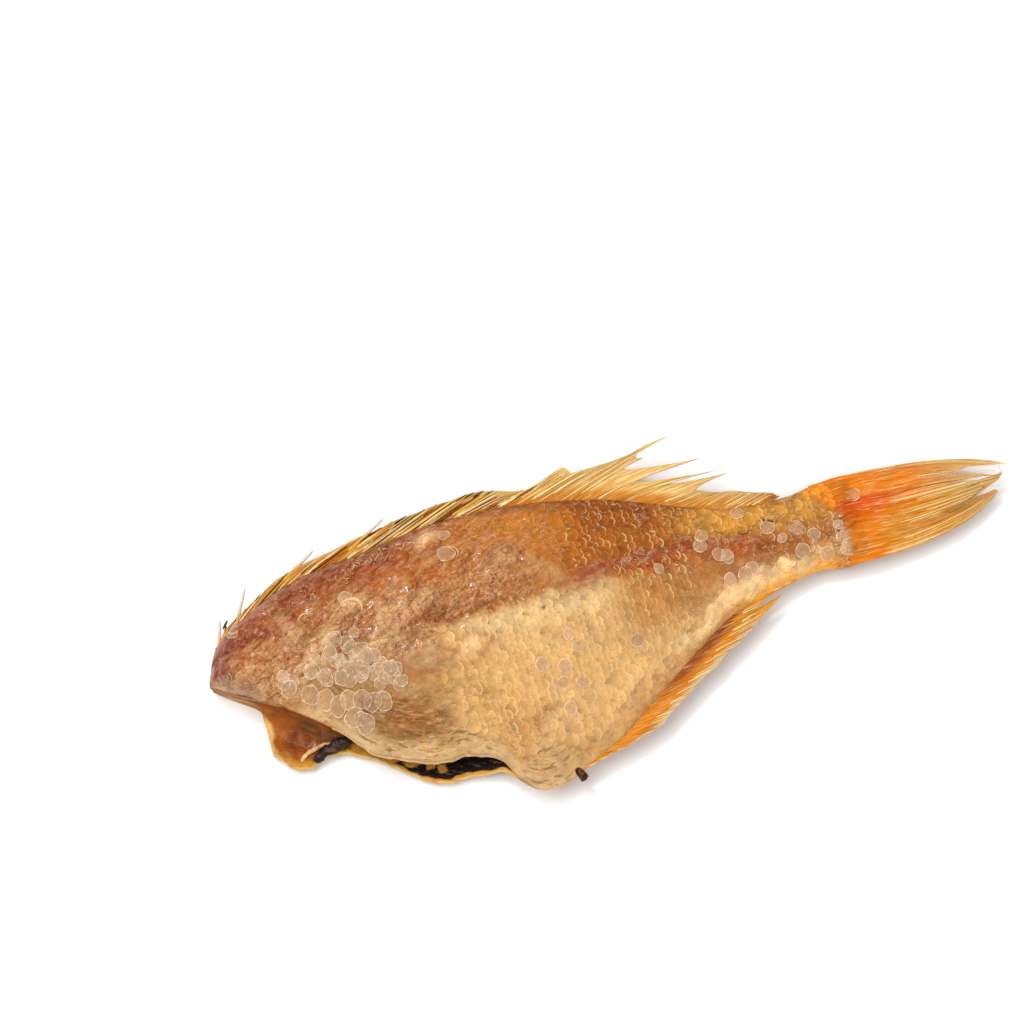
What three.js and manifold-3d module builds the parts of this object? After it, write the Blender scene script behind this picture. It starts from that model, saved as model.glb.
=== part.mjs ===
// Dried salted redfish: a gutted fish with its head cut off, lying on its right flank.
// Millimetres. +Z is up, +X runs from the neck cut to the tail, +Y from the belly to the back.
// It is one piece: the trunk is a lofted C-shaped section round the open belly, and the
// fins, the spines and the vent stub grow out of it.
import * as THREE from "three";
import { ParametricGeometry } from "three/addons/geometries/ParametricGeometry.js";
import { mergeGeometries, mergeVertices } from "three/addons/utils/BufferGeometryUtils.js";
import Module from "manifold-3d";

// ---- Driving dimensions. x is measured from the neck, y from the backbone line.
const TRUNK_LENGTH = 212; // neck cut to the fleshy end under the tail fin
const SLIT_END = 85; // where the gutting slit stops, at the vent
const WALL = 2.2; // belly flap thickness at its lip
const WALL_FADE = 9; // the lips close to one edge over this length before the slit's end
const LIP_ROUND = 0.8; // how far the rounded lip stands past the flap's edge
const NECK_TIP_Y = 3.6; // the neck's foremost point, on the backbone
const NECK_SETBACK = 1.42; // slope of the head's cut from the backbone down to the belly
const NAPE_SETBACK = 0.3; // slope of the head's cut from the backbone up to the nape
const LOWER_FLAP_FRONT = 13.4; // the lower flap is cut square at this distance
const NECK_BLEND = 62; // the cut's slant fades out of the sections over this length
const NECK_ROUNDING = { over: 9, left: 0.42, above: -10, fade: 6 };
const CREST_POWER = 1.2; // puts a flank's crest a little above mid depth
const UPPER_FULLNESS = 0.62; // power of the shown flank's arch, smaller is fuller
const LOWER_FULLNESS = 0.85; // the same for the hidden flank
const SEPTUM_GROOVE = { depth: 1.1, width: 2.6, from: 20, to: 170, fade: 25 };
const BACK_TROUGH = { depth: 1.2, width: 3.5, below: 9.5, to: 130, fade: 40 };
const BELLY_FOLD = { depth: 1.6, width: 3.2, below: -6, fade: 8 };
const FIN_ROOT = 3; // how deep a fin is rooted in the body
const FIN_THICKNESS = 1.3;
const FIN_BLUNTNESS = 0.4; // power of a fin's lens section, smaller is blunter
const DORSAL_SPAN = [9, 188];
const ANAL_SPAN = [106, 180];
const SPINE = { radius: 0.9, sides: 6 };
const FOLDED_SPINES = { count: 13, first: 13, pitch: 9.2, length: 27, root: 2 };
const TAIL = { root: 199, thickness: 1.5 };
const VENT_STUB = { radius: 1.2, root: [101, -51, 9], tip: [104, -56.6, 9.6] };

const mix = (a, b, t) => a + (b - a) * t;
const clamp01 = (v) => Math.min(1, Math.max(0, v));
const bell = (distance, width) => Math.exp(-((distance / width) ** 2));

// A smooth curve through [x, value] knots, level beyond the ends.
function through(knots) {
  const last = knots.length - 1;
  const slopes = knots.map((_, i) => {
    if (i === 0 || i === last) return 0;
    return (knots[i + 1][1] - knots[i - 1][1]) / (knots[i + 1][0] - knots[i - 1][0]);
  });
  return (x) => {
    if (x <= knots[0][0]) return knots[0][1];
    if (x >= knots[last][0]) return knots[last][1];
    const next = knots.findIndex(([knotX]) => knotX > x);
    const [x0, v0] = knots[next - 1];
    const [x1, v1] = knots[next];
    const run = x1 - x0;
    const t = (x - x0) / run;
    const rise = v1 - v0;
    const leave = slopes[next - 1] * run;
    const arrive = slopes[next] * run;
    return v0 + t * (leave + t * (3 * rise - 2 * leave - arrive + t * (leave + arrive - 2 * rise)));
  };
}

// ---- Outline of the fish as it lies, seen from above.
const BELLY = [[85, -51.5], [91, -56], [99, -55.5], [108, -51.5], [119, -46.4], [135, -36], [149, -27],
  [163, -18.8], [178, -15.2], [194, -12.2], [202, -13.6], [212, -12.5]];
const back = through([[0, 8.5], [5, 14.9], [15.5, 21.1], [33, 28.4], [54, 31.5], [82, 35], [109, 33.6],
  [136, 27.9], [158, 19.3], [176, 14.6], [192, 14.1], [202, 15.6], [212, 13.5]]);
const upperLip = through([[0, -15], [20, -17], [34, -20], [44, -31], [59, -38], [73, -39.6],
  [81, -43.4], ...BELLY]);
const lowerLip = through([[0, -20], [13, -21], [20, -27.6], [30, -25.6], [40, -28.3], [61, -43.7],
  [73, -44.2], [81, -46.8], ...BELLY]);
const dorsalEdge = through([[9, 19], [15, 24.6], [20, 27], [27, 30], [36, 33.6], [48, 34.4], [58, 37],
  [74, 39.6], [97, 41.2], [113, 40.6], [139, 39], [148, 34], [156, 27.4], [164, 22.6], [177, 18.3],
  [188, 14]]);
const analEdge = through([[106, -51], [115, -49.6], [121, -49], [129, -46.4], [144, -38], [155, -32.4],
  [166, -25.8], [172, -22.1], [180, -16.4]]);

// ---- Heights above the table.
const BELLY_HEIGHTS = [[85, 8.5], [120, 8.5], [160, 8], [200, 6.8], [212, 6.5]];
const bellyHeight = through(BELLY_HEIGHTS);
const ridgeHeight = through([[0, 12], [60, 11.5], [120, 10.5], [160, 9], [200, 6.8], [212, 6.5]]);
const upperLipHeight = through([[0, 14], [30, 12.5], [60, 12], [76, 11], ...BELLY_HEIGHTS]);
const lowerLipHeight = through([[0, 3], [14, 2], [30, 1.2], [60, 1.4], [76, 2.6], ...BELLY_HEIGHTS]);
const topHeight = through([[0, 23], [20, 25.4], [60, 27], [90, 25.6], [120, 22], [160, 14.5],
  [190, 11], [205, 9.3], [212, 8.2]]);
const lowHeight = through([[0, 1.2], [25, -0.6], [60, -1.2], [105, -0.8], [125, 0.8], [160, 3],
  [190, 4.2], [212, 4.9]]);

// ---- The belly cavity: how far it reaches in from the upper lip, and its wall.
const cavityDepth = through([[0, 13], [30, 18], [50, 28], [65, 24], [77, 11], [SLIT_END, 0]]);
const cavityEnd = (x) => upperLip(x) + cavityDepth(x);
const wallAt = (x) => WALL * Math.sqrt(clamp01((SLIT_END - x) / WALL_FADE));

// ---- Folds of the dried flank: along the backbone, under the dorsal fin, and over the belly.
const septumLine = through([[20, 1], [60, 0.8], [100, 0.6], [150, 3.2], [200, -1.5]]);
const bellyFoldLine = through([[-52, 100], [-46, 98.5], [-37, 94.7], [-28, 88], [-20, 71], [-7, 61]]);

function folds(x, y) {
  const { from, to, fade } = SEPTUM_GROOVE;
  const septum = SEPTUM_GROOVE.depth * bell(y - septumLine(x), SEPTUM_GROOVE.width);
  const trough = BACK_TROUGH.depth * bell(y - back(x) + BACK_TROUGH.below, BACK_TROUGH.width);
  const fold = BELLY_FOLD.depth * bell(x - bellyFoldLine(y), BELLY_FOLD.width);
  return -septum * clamp01((x - from) / fade) * clamp01(1 + (to - x) / fade)
    - trough * clamp01(1 + (BACK_TROUGH.to - x) / BACK_TROUGH.fade)
    - fold * clamp01((BELLY_FOLD.below - y) / BELLY_FOLD.fade);
}

// The head's cut: how far back it lies at height y of one side.
function neckCut(y, side) {
  if (y > NECK_TIP_Y) return NAPE_SETBACK * (y - NECK_TIP_Y);
  const slant = NECK_SETBACK * (NECK_TIP_Y - y);
  return side > 0 ? slant : Math.min(slant, LOWER_FLAP_FRONT);
}

// The share of its height that the body keeps where it rounds down to the head's cut, above the
// belly's opening.
function neckRounding(x, y) {
  const { over, left, above, fade } = NECK_ROUNDING;
  const near = 1 - clamp01((x - neckCut(y, 1)) / over);
  return 1 - (1 - left) * (1 - Math.sqrt(1 - near ** 2)) * clamp01((y - above) / fade);
}

// Height of the skin over a point of the outline: +1 is the shown side, -1 the hidden one. The
// skin arches from the lip's height to the ridge's, and is flat where it rests on the table.
function skinHeight(x, y, side) {
  const edge = side > 0 ? upperLip(x) : lowerLip(x);
  const edgeHeight = side > 0 ? upperLipHeight(x) : lowerLipHeight(x);
  const s = clamp01((y - edge) / (back(x) - edge));
  const q = s ** CREST_POWER;
  const arch = (4 * q * (1 - q)) ** (side > 0 ? UPPER_FULLNESS : LOWER_FULLNESS);
  const underCrest = mix(edgeHeight, ridgeHeight(x), 0.5 ** (1 / CREST_POWER));
  const crest = side > 0 ? topHeight(x) : lowHeight(x);
  const arched = mix(edgeHeight, ridgeHeight(x), s) + (crest - underCrest) * arch;
  const height = arched * neckRounding(x, y);
  return side > 0 ? height + folds(x, y) * Math.min(1, 3 * arch) : Math.max(0, height);
}

// Where the line at a fraction s of the way from edge(x) to reach(x) meets the head's cut.
function cutAt(s, edge, reach, side) {
  let x = 0;
  for (let step = 0; step < 30; step++) {
    x = mix(x, neckCut(mix(edge(x), reach(x), s), side), 0.5);
  }
  return x;
}

// The sections follow the cut at the neck and stand upright further back.
function slanted(station, s, edge, reach, side) {
  const x = station + cutAt(s, edge, reach, side) * Math.max(0, 1 - station / NECK_BLEND);
  return [x, mix(edge(x), reach(x), s)];
}

// ---- The section's curves. t runs from 0 to 1.
const lipOf = (side) => (side > 0 ? upperLip : lowerLip);

function skinPoint(station, t, side) {
  const s = (1 - Math.cos(Math.PI * t)) / 2;
  const [x, y] = slanted(station, s, lipOf(side), back, side);
  return new THREE.Vector3(x, y, skinHeight(x, y, side));
}

function liningPoint(station, t, side) {
  const [x, y] = slanted(station, t, lipOf(side), cavityEnd, side);
  const end = cavityEnd(x);
  const middle = (skinHeight(x, end, 1) + skinHeight(x, end, -1)) / 2;
  return new THREE.Vector3(x, y, mix(skinHeight(x, y, side) - side * wallAt(x), middle, t ** 3));
}

// The rounded edge of a flap, from its skin (t = 0) to its lining (t = 1).
function lipPoint(station, t, side) {
  const share = (1 - Math.cos(Math.PI * t)) / 2;
  const point = skinPoint(station, 0, side).lerp(liningPoint(station, 0, side), share);
  point.y -= (LIP_ROUND * Math.sin(Math.PI * t) * wallAt(point.x)) / WALL;
  return point;
}

// The closed section: shown flank, hidden flank, lower lip, lining there and back, upper lip.
// Past the slit the lining and the lips fall together into the belly's edge.
const STATIONS = 56;
const FLANK_STEPS = 12;
const LIP_STEPS = 4;
const SECTION = [
  [FLANK_STEPS, (station, t) => skinPoint(station, t, 1)],
  [FLANK_STEPS, (station, t) => skinPoint(station, 1 - t, -1)],
  [LIP_STEPS, (station, t) => lipPoint(station, t, -1)],
  [FLANK_STEPS, (station, t) => liningPoint(station, t, -1)],
  [FLANK_STEPS, (station, t) => liningPoint(station, 1 - t, 1)],
  [LIP_STEPS, (station, t) => lipPoint(station, 1 - t, 1)],
];
const SECTION_STEPS = SECTION.reduce((sum, [steps]) => sum + steps, 0);

function sectionPoint(station, turn) {
  let step = (turn % 1) * SECTION_STEPS;
  for (const [steps, pointAt] of SECTION) {
    if (step <= steps) return pointAt(station, step / steps);
    step -= steps;
  }
  return skinPoint(station, 0, 1);
}

// ---- The trunk's surfaces.
function trunkSkin() {
  const shape = (u, v, target) => target.copy(sectionPoint(v * TRUNK_LENGTH, u));
  return new ParametricGeometry(shape, SECTION_STEPS, STATIONS);
}

// The cut flesh at the neck on one side, from the skin in to the lining.
function neckFace(side) {
  const shape = (u, v, target) => {
    const inward = side > 0 ? 1 - v : v;
    if (u === 0) {
      target.copy(lipPoint(0, inward, side));
      return;
    }
    target.lerpVectors(skinPoint(0, u, side), liningPoint(0, u, side), inward);
    if (v > 0 && v < 1) target.x = neckCut(target.y, side);
  };
  return new ParametricGeometry(shape, FLANK_STEPS, LIP_STEPS);
}

// The fleshy end of the tail stalk.
function tailFace() {
  const top = skinPoint(TRUNK_LENGTH, 0.5, 1);
  const middle = top.lerp(skinPoint(TRUNK_LENGTH, 0.5, -1), 0.5);
  const shape = (u, v, target) => target.lerpVectors(sectionPoint(TRUNK_LENGTH, u), middle, v);
  return new ParametricGeometry(shape, SECTION_STEPS, 1);
}

// ---- Fins. A blade is a thin lens between two edges given as [x, y] along it, sharp all round.
function blade({ inner, outer, height, thickness, along, across }) {
  const face = (side) => {
    const shape = (u, v, target) => {
      const w = side > 0 ? u : 1 - u;
      const [x0, y0] = inner(v);
      const [x1, y1] = outer(v);
      const ends = clamp01(8 * Math.min(v, 1 - v));
      const half = (thickness / 2) * (4 * w * (1 - w)) ** FIN_BLUNTNESS * ends;
      const x = mix(x0, x1, w);
      target.set(x, mix(y0, y1, w), height(x) + side * half);
    };
    return new ParametricGeometry(shape, across, along);
  };
  return [face(1), face(-1)];
}

function dorsalFin() {
  const at = (t) => mix(...DORSAL_SPAN, t);
  return blade({
    inner: (t) => [at(t), back(at(t)) - FIN_ROOT],
    outer: (t) => [at(t), Math.max(dorsalEdge(at(t)), back(at(t)))],
    height: ridgeHeight,
    thickness: FIN_THICKNESS,
    along: 48,
    across: 3,
  });
}

function analFin() {
  const at = (t) => mix(...ANAL_SPAN, t);
  return blade({
    inner: (t) => [at(t), analEdge(at(t))],
    outer: (t) => [at(t), upperLip(at(t)) + FIN_ROOT],
    height: bellyHeight,
    thickness: FIN_THICKNESS,
    along: 28,
    across: 3,
  });
}

// Turns a geometry made along +Y to run from root to tip.
function lay(geometry, root, tip) {
  const way = new THREE.Vector3().subVectors(tip, root);
  const up = new THREE.Vector3(0, 1, 0);
  geometry.applyQuaternion(new THREE.Quaternion().setFromUnitVectors(up, way.clone().normalize()));
  geometry.translate(...way.multiplyScalar(0.5).add(root).toArray());
  return [geometry];
}

// A spine or a free ray tip: a slim cone.
function spike(root, tip) {
  return lay(new THREE.ConeGeometry(SPINE.radius, root.distanceTo(tip), SPINE.sides, 1), root, tip);
}

// A spine lying back along the ridge. The spines differ a little in length and in how far they stand out.
function foldedSpine(_, i) {
  const { first, pitch, length, root } = FOLDED_SPINES;
  const x = first + pitch * i;
  const tipX = x + length * (1 - 0.2 * Math.cos(2.4 * i));
  const proud = 1.2 + 0.8 * Math.sin(1.7 * i);
  return spike(
    new THREE.Vector3(x, back(x) - root, ridgeHeight(x)),
    new THREE.Vector3(tipX, dorsalEdge(tipX) + proud, ridgeHeight(tipX)),
  );
}

// Spines and rays that stand free: [root x, root y, tip x, tip y], two at the nape, then the soft rays.
const FREE_SPIKES = [[12, 15, 9.6, 24.4], [16, 18, 19.8, 32.3], [132, 33, 161, 42.4],
  [140, 28, 168.6, 32.4], [150, 23, 173, 26.7], [156, 20, 175.7, 25.6]];
const TIP_RISE = 0.6;

const freeSpike = ([x, y, tipX, tipY]) => spike(
  new THREE.Vector3(x, y, ridgeHeight(x)),
  new THREE.Vector3(tipX, tipY, ridgeHeight(tipX) + TIP_RISE),
);

// ---- Tail fin: four lobes fanned from the stalk. Each lies between two bowed edges, which start at
// the heights in root, lean towards the points in bows and meet at the tip.
const TAIL_LOBES = [
  { root: [14.5, 2], bows: [[243, 13.6], [240, 8]], tip: [264, 5.5], height: 5.2 },
  { root: [8, -2], bows: [[238, 8.6], [236, 4]], tip: [259, 2.5], height: 5.6 },
  { root: [4, -6], bows: [[236, 4.5], [232, -1]], tip: [258.3, 1], height: 8 },
  { root: [0, -12.6], bows: [[236, 0.5], [236, -12.6]], tip: [257, -2.8], height: 5.2 },
];

function tailLobe({ root, bows, tip, height }) {
  const edges = root.map((y, i) => new THREE.QuadraticBezierCurve(
    new THREE.Vector2(TAIL.root, y),
    new THREE.Vector2(...bows[i]),
    new THREE.Vector2(...tip),
  ));
  const out = (x) => clamp01((x - TAIL.root) / (tip[0] - TAIL.root));
  return blade({
    inner: (t) => edges[1].getPoint(t).toArray(),
    outer: (t) => edges[0].getPoint(t).toArray(),
    height: (x) => mix(ridgeHeight(TAIL.root), height, out(x) ** 2),
    thickness: TAIL.thickness,
    along: 16,
    across: 4,
  });
}

// ---- The dried stub of gut at the vent.
function ventStub() {
  const root = new THREE.Vector3(...VENT_STUB.root);
  const tip = new THREE.Vector3(...VENT_STUB.tip);
  return lay(new THREE.CapsuleGeometry(VENT_STUB.radius, root.distanceTo(tip), 3, 8), root, tip);
}

// ---- Joining: everything grows together into one solid.
const wasm = await Module();
wasm.setup();

// One closed solid from surfaces that share their borders.
function solid(surfaces) {
  for (const surface of surfaces) {
    surface.deleteAttribute("normal");
    surface.deleteAttribute("uv");
  }
  const merged = mergeVertices(mergeGeometries(surfaces), 1e-4);
  const triangles = [];
  for (let i = 0; i < merged.index.count; i += 3) {
    const [a, b, c] = merged.index.array.subarray(i, i + 3);
    if (a !== b && b !== c && c !== a) triangles.push(a, b, c);
  }
  const made = (order) => new wasm.Manifold(new wasm.Mesh({
    numProp: 3,
    vertProperties: merged.attributes.position.array,
    triVerts: new Uint32Array(order),
  }));
  const asDrawn = made(triangles);
  return asDrawn.volume() > 0 ? asDrawn : made(triangles.toReversed());
}

const trunk = [trunkSkin(), neckFace(1), neckFace(-1), tailFace()];
const grown = [
  dorsalFin(),
  analFin(),
  ventStub(),
  ...TAIL_LOBES.map(tailLobe),
  ...FREE_SPIKES.map(freeSpike),
  ...Array.from({ length: FOLDED_SPINES.count }, foldedSpine),
];
const whole = grown.reduce((body, piece) => body.add(solid(piece)), solid(trunk)).getMesh();

const geometry = new THREE.BufferGeometry();
geometry.setAttribute("position", new THREE.BufferAttribute(whole.vertProperties, 3));
geometry.setIndex(new THREE.BufferAttribute(whole.triVerts, 1));
geometry.computeVertexNormals();

const skin = new THREE.MeshStandardMaterial({ color: 0xb98558, roughness: 0.5, metalness: 0 });
const fish = new THREE.Mesh(geometry, skin);
fish.name = "dried_fish";

// The part's origin is on the table, under the middle of the fish.
const box = new THREE.Box3().setFromBufferAttribute(geometry.attributes.position);
const middle = box.getCenter(new THREE.Vector3());
fish.position.set(-middle.x, -middle.y, -box.min.z);

const part = new THREE.Group();
part.add(fish);

export default part;
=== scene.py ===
"""Dried salted redfish: a gutted fish without its head, lying on its right flank on a pale table.

Every shape is worked out in millimetres in the fish's own frame: x from the neck to the tail,
y from the belly to the back, z up from the table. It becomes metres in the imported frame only
when a mesh is made.
"""

import itertools
import math

import bpy
import numpy as np
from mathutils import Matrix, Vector


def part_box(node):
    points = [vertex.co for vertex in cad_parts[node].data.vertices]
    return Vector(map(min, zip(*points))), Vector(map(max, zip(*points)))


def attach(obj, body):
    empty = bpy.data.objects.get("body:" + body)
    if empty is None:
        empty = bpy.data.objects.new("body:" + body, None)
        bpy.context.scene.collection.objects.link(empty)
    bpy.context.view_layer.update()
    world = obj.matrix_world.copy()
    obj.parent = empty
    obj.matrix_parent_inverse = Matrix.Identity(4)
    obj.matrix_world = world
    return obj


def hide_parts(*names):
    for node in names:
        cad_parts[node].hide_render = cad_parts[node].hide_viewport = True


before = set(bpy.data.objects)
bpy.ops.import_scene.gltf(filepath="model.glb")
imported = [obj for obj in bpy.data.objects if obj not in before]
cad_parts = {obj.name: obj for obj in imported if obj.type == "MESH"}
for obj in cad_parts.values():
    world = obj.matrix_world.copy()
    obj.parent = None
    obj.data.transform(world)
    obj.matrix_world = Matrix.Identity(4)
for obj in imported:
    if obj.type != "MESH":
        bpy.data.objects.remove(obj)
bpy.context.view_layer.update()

# ---- Sizes of the trunk.
TRUNK_LENGTH = 212  # neck cut to the fleshy end under the tail fin
SLIT_END = 85  # where the gutting slit stops, at the vent
WALL = 2.2  # belly flap thickness at its lip
WALL_FADE = 9  # the lips close to one edge over this length before the slit's end
LIP_ROUND = 0.8  # how far the rounded lip stands past the flap's edge
NECK_TIP_Y = 3.6  # the neck's foremost point, on the backbone
NECK_SETBACK = 1.42  # slope of the head's cut from the backbone down to the belly
NAPE_SETBACK = 0.3  # slope of the head's cut from the backbone up to the nape
LOWER_FLAP_FRONT = 13.4  # the lower flap is cut square at this distance
NECK_BLEND = 62  # the cut's slant fades out of the sections over this length
NECK_ROUND_OVER = 9  # the flesh rounds down to the head's cut over this length
NECK_ROUND_LEFT = 0.42  # the share of its height that is left at the cut
NECK_ROUND_ABOVE = -10  # the rounding starts over the belly's opening
NECK_ROUND_FADE = 6  # and is complete this much higher up
CREST_POWER = 1.2  # puts a flank's crest a little above mid depth
UPPER_FULLNESS = 0.62  # power of the shown flank's arch
LOWER_FULLNESS = 0.85  # the same for the hidden flank
TAIL_TIP_X = 264  # the tail fin's furthest point
VENT_LOW_Y = -57.8  # the lowest point of the stub at the vent
TEAR_FADE = 8  # the flaps' edges are no longer torn this far from the slit's end
TO_METRES = 0.001

# The fish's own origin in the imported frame: its tail tip and its vent stub touch the box's sides.
BOX_LOW, BOX_HIGH = (np.array(corner) / TO_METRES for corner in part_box("dried_fish"))
FISH_ORIGIN = np.array([BOX_HIGH[0] - TAIL_TIP_X, BOX_LOW[1] - VENT_LOW_Y, 0])


# ---- Small functions on whole arrays.
def mix(a, b, t):
    """The value a share t of the way from a to b."""
    return a + (b - a) * t


def bell(distance, width):
    """A smooth hump: 1 at distance 0, about a third at one width."""
    return np.exp(-((distance / width) ** 2))


def fade(value, start, end):
    """Smooth step: 0 up to start, 1 from end on; start may be the larger one."""
    t = np.clip((value - start) / (end - start), 0, 1)
    return t * t * (3 - 2 * t)


def through(*knots):
    """A smooth curve through (x, value) knots: cubic pieces whose slope at a knot is that of the
    line between its neighbours, flat at both ends and level beyond them."""
    xs, vs = np.array(knots, float).T
    slopes = np.zeros(len(xs))
    slopes[1:-1] = (vs[2:] - vs[:-2]) / (xs[2:] - xs[:-2])

    def curve(x):
        x = np.clip(x, xs[0], xs[-1])
        i = np.clip(np.searchsorted(xs, x, side="right") - 1, 0, len(xs) - 2)
        run, rise = xs[i + 1] - xs[i], vs[i + 1] - vs[i]
        t = (x - xs[i]) / run
        leave, arrive = slopes[i] * run, slopes[i + 1] * run
        return vs[i] + t * (leave + t * (3 * rise - 2 * leave - arrive + t * (leave + arrive - 2 * rise)))

    return curve


LATTICE = 48  # cells of the noise along each axis before it repeats


def grain(points, size, seed):
    """Smooth noise from -1 to 1: random values on a cubic lattice whose cells are `size` wide,
    blended across each cell by smooth steps. `size` may differ along x, y and z."""
    values = np.random.default_rng(seed).uniform(-1, 1, (LATTICE, LATTICE, LATTICE))
    at = np.asarray(points, float) / size
    corner = np.floor(at).astype(int)
    part = at - corner
    part = part * part * (3 - 2 * part)
    total = 0
    for step in itertools.product((0, 1), repeat=3):
        share = np.prod(np.where(step, part, 1 - part), axis=-1)
        total = total + share * values[tuple(np.moveaxis((corner + step) % LATTICE, -1, 0))]
    return total


def flat(x, y, z=0.0):
    """Points from their coordinates, which may be single numbers or arrays."""
    return np.stack(np.broadcast_arrays(x, y, z), -1).astype(float)


# ---- Outline of the fish as it lies, seen from above, and heights over the table.
BELLY = [
    (85, -51.5), (91, -56), (99, -55.5), (108, -51.5), (119, -46.4), (135, -36), (149, -27), (163, -18.8),
    (178, -15.2), (194, -12.2), (202, -13.6), (212, -12.5)]
BELLY_HEIGHTS = [(85, 8.5), (120, 8.5), (160, 8), (200, 6.8), (212, 6.5)]
back = through((0, 8.5), (5, 14.9), (15.5, 21.1), (33, 28.4), (54, 31.5), (82, 35), (109, 33.6),
               (136, 27.9), (158, 19.3), (176, 14.6), (192, 14.1), (202, 15.6), (212, 13.5))
upper_cut = through((0, -15), (20, -17), (34, -20), (44, -31), (59, -38), (73, -39.6), (81, -43.4), *BELLY)
lower_cut = through((0, -20), (13, -21), (20, -27.6), (30, -25.6), (40, -28.3), (61, -43.7),
                    (73, -44.2), (81, -46.8), *BELLY)
belly_height = through(*BELLY_HEIGHTS)
ridge_height = through((0, 12), (60, 11.5), (120, 10.5), (160, 9), (200, 6.8), (212, 6.5))
upper_lip_height = through((0, 14), (30, 12.5), (60, 12), (76, 11), *BELLY_HEIGHTS)
lower_lip_height = through((0, 3), (14, 2), (30, 1.2), (60, 1.4), (76, 2.6), *BELLY_HEIGHTS)
top_height = through((0, 23), (20, 25.4), (60, 27), (90, 25.6), (120, 22), (160, 14.5), (190, 11),
                     (205, 9.3), (212, 8.2))
low_height = through((0, 1.2), (25, -0.6), (60, -1.2), (105, -0.8), (125, 0.8), (160, 3), (190, 4.2),
                     (212, 4.9))
cavity_depth = through((0, 13), (30, 18), (50, 28), (65, 24), (77, 11), (SLIT_END, 0))
septum_line = through((20, 1), (60, 0.8), (100, 0.6), (150, 3.2), (200, -1.5))
belly_fold_line = through((-52, 100), (-46, 98.5), (-37, 94.7), (-28, 88), (-20, 71), (-7, 61))
furrow_line = through((30, -1.6), (45, -0.3), (54, -0.3), (62, 0.1), (70, 1.6), (79, 1.4), (100, 0.6))


def torn(x, amount, seed):
    """How far a cut edge strays from its line: fine noise along x, gone behind the slit."""
    line = flat(x, 0)
    noise = grain(line, 5, seed) + 0.5 * grain(line, 1.7, seed + 1)
    return amount * noise * fade(x, SLIT_END, SLIT_END - TEAR_FADE)


def upper_lip(x):
    """The edge of the shown belly flap: its cut line, a little torn."""
    return upper_cut(x) + torn(x, 0.45, 11)


def lower_lip(x):
    """The edge of the lower belly flap: its cut line, a little torn, and behind the slit the same
    edge as the shown flank's."""
    return np.where(x < SLIT_END, lower_cut(x) + torn(x, 0.6, 13), upper_lip(x))


def lip_height(x, side):
    """Height of a flap's edge; behind the slit both flanks have one edge."""
    return np.where((side < 0) & (x < SLIT_END), lower_lip_height(x), upper_lip_height(x))


def cavity_end(x):
    """How far up the belly cavity reaches."""
    return upper_lip(x) + cavity_depth(x)


def wall_at(x):
    """The flaps' thickness, which closes to nothing at the slit's end."""
    return WALL * np.sqrt(np.clip((SLIT_END - x) / WALL_FADE, 0, 1))


def near_line(x, y, line, width):
    """1 on a bent line, falling smoothly to 0 at `width` from it: the distance to the nearest of its
    straight parts."""
    nearest = np.full(np.shape(x), np.inf)
    for (ax, ay), (bx, by) in zip(line, line[1:]):
        dx, dy = bx - ax, by - ay
        t = np.clip(((x - ax) * dx + (y - ay) * dy) / (dx * dx + dy * dy), 0, 1)
        nearest = np.minimum(nearest, np.hypot(x - ax - t * dx, y - ay - t * dy))
    return fade(nearest, width, 0)


# ---- Relief of the dried skin.
# Lumps that dry flesh pushes up: x, y, half length, half width, height.
LUMPS = [
    (47.8, 10.9, 3, 2.4, 1.4), (55, -0.4, 6.5, 2.6, 1.4), (35.5, 0.4, 6, 2.8, 1.2), (26.8, -7.7, 4, 3, 0.8),
    (77, 27.3, 2.6, 1.8, 2.0), (71, 7, 3.4, 2.4, 0.8), (17.4, -4.7, 3, 2.4, 0.6), (29.5, 9, 2, 5, 1),
    (66, -8, 4.5, 3.4, 0.9), (80, -12, 4, 3, 0.6), (99, 14.9, 5, 3, 0.6), (38, 3.4, 3, 2, 1),
    (58.6, 6.9, 4, 2, 1), (158.6, 3, 3, 2, 0.8), (104, -40, 5, 4, 0.8), (96, -47, 4, 4, 0.7),
    (121, -14, 3.4, 3, 0.4), (62, 11, 3, 2, 0.5), (208, 1, 3.4, 8, 0.9), (150, -31, 5, 3, 0.5),
    (138, -37, 5, 3, 0.6), (126, -43, 4, 3, 0.5)]
MUSCLE_SLANT = 0.3  # how much the lumps' long axes lean from the body's line

# Depths and half widths of the broad folds.
GROOVE_DEPTH, GROOVE_WIDTH = 1.1, 2.6
TROUGH_DEPTH, TROUGH_WIDTH, TROUGH_BELOW_BACK = 1.2, 3.5, 9.5
FOLD_DEPTH, FOLD_WIDTH = 1.6, 3.2
FURROW_DEPTH, FURROW_WIDTH = 1.2, 1.1
CREASE_DEPTH, CREASE_WIDTH = 0.8, 2.2


def neck_cut(y, side):
    """How far back the head's cut lies at height y."""
    slant = NECK_SETBACK * (NECK_TIP_Y - y)
    below = slant if side > 0 else np.minimum(slant, LOWER_FLAP_FRONT)
    return np.where(y > NECK_TIP_Y, NAPE_SETBACK * (y - NECK_TIP_Y), below)


def neck_rounding(x, y):
    """The share of its height that the body keeps where it rounds down to the head's cut, above
    the belly's opening: a quarter circle in the distance from the cut."""
    near = 1 - np.clip((x - neck_cut(y, 1)) / NECK_ROUND_OVER, 0, 1)
    lost = (1 - NECK_ROUND_LEFT) * (1 - np.sqrt(1 - near ** 2))
    return 1 - lost * np.clip((y - NECK_ROUND_ABOVE) / NECK_ROUND_FADE, 0, 1)


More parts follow.
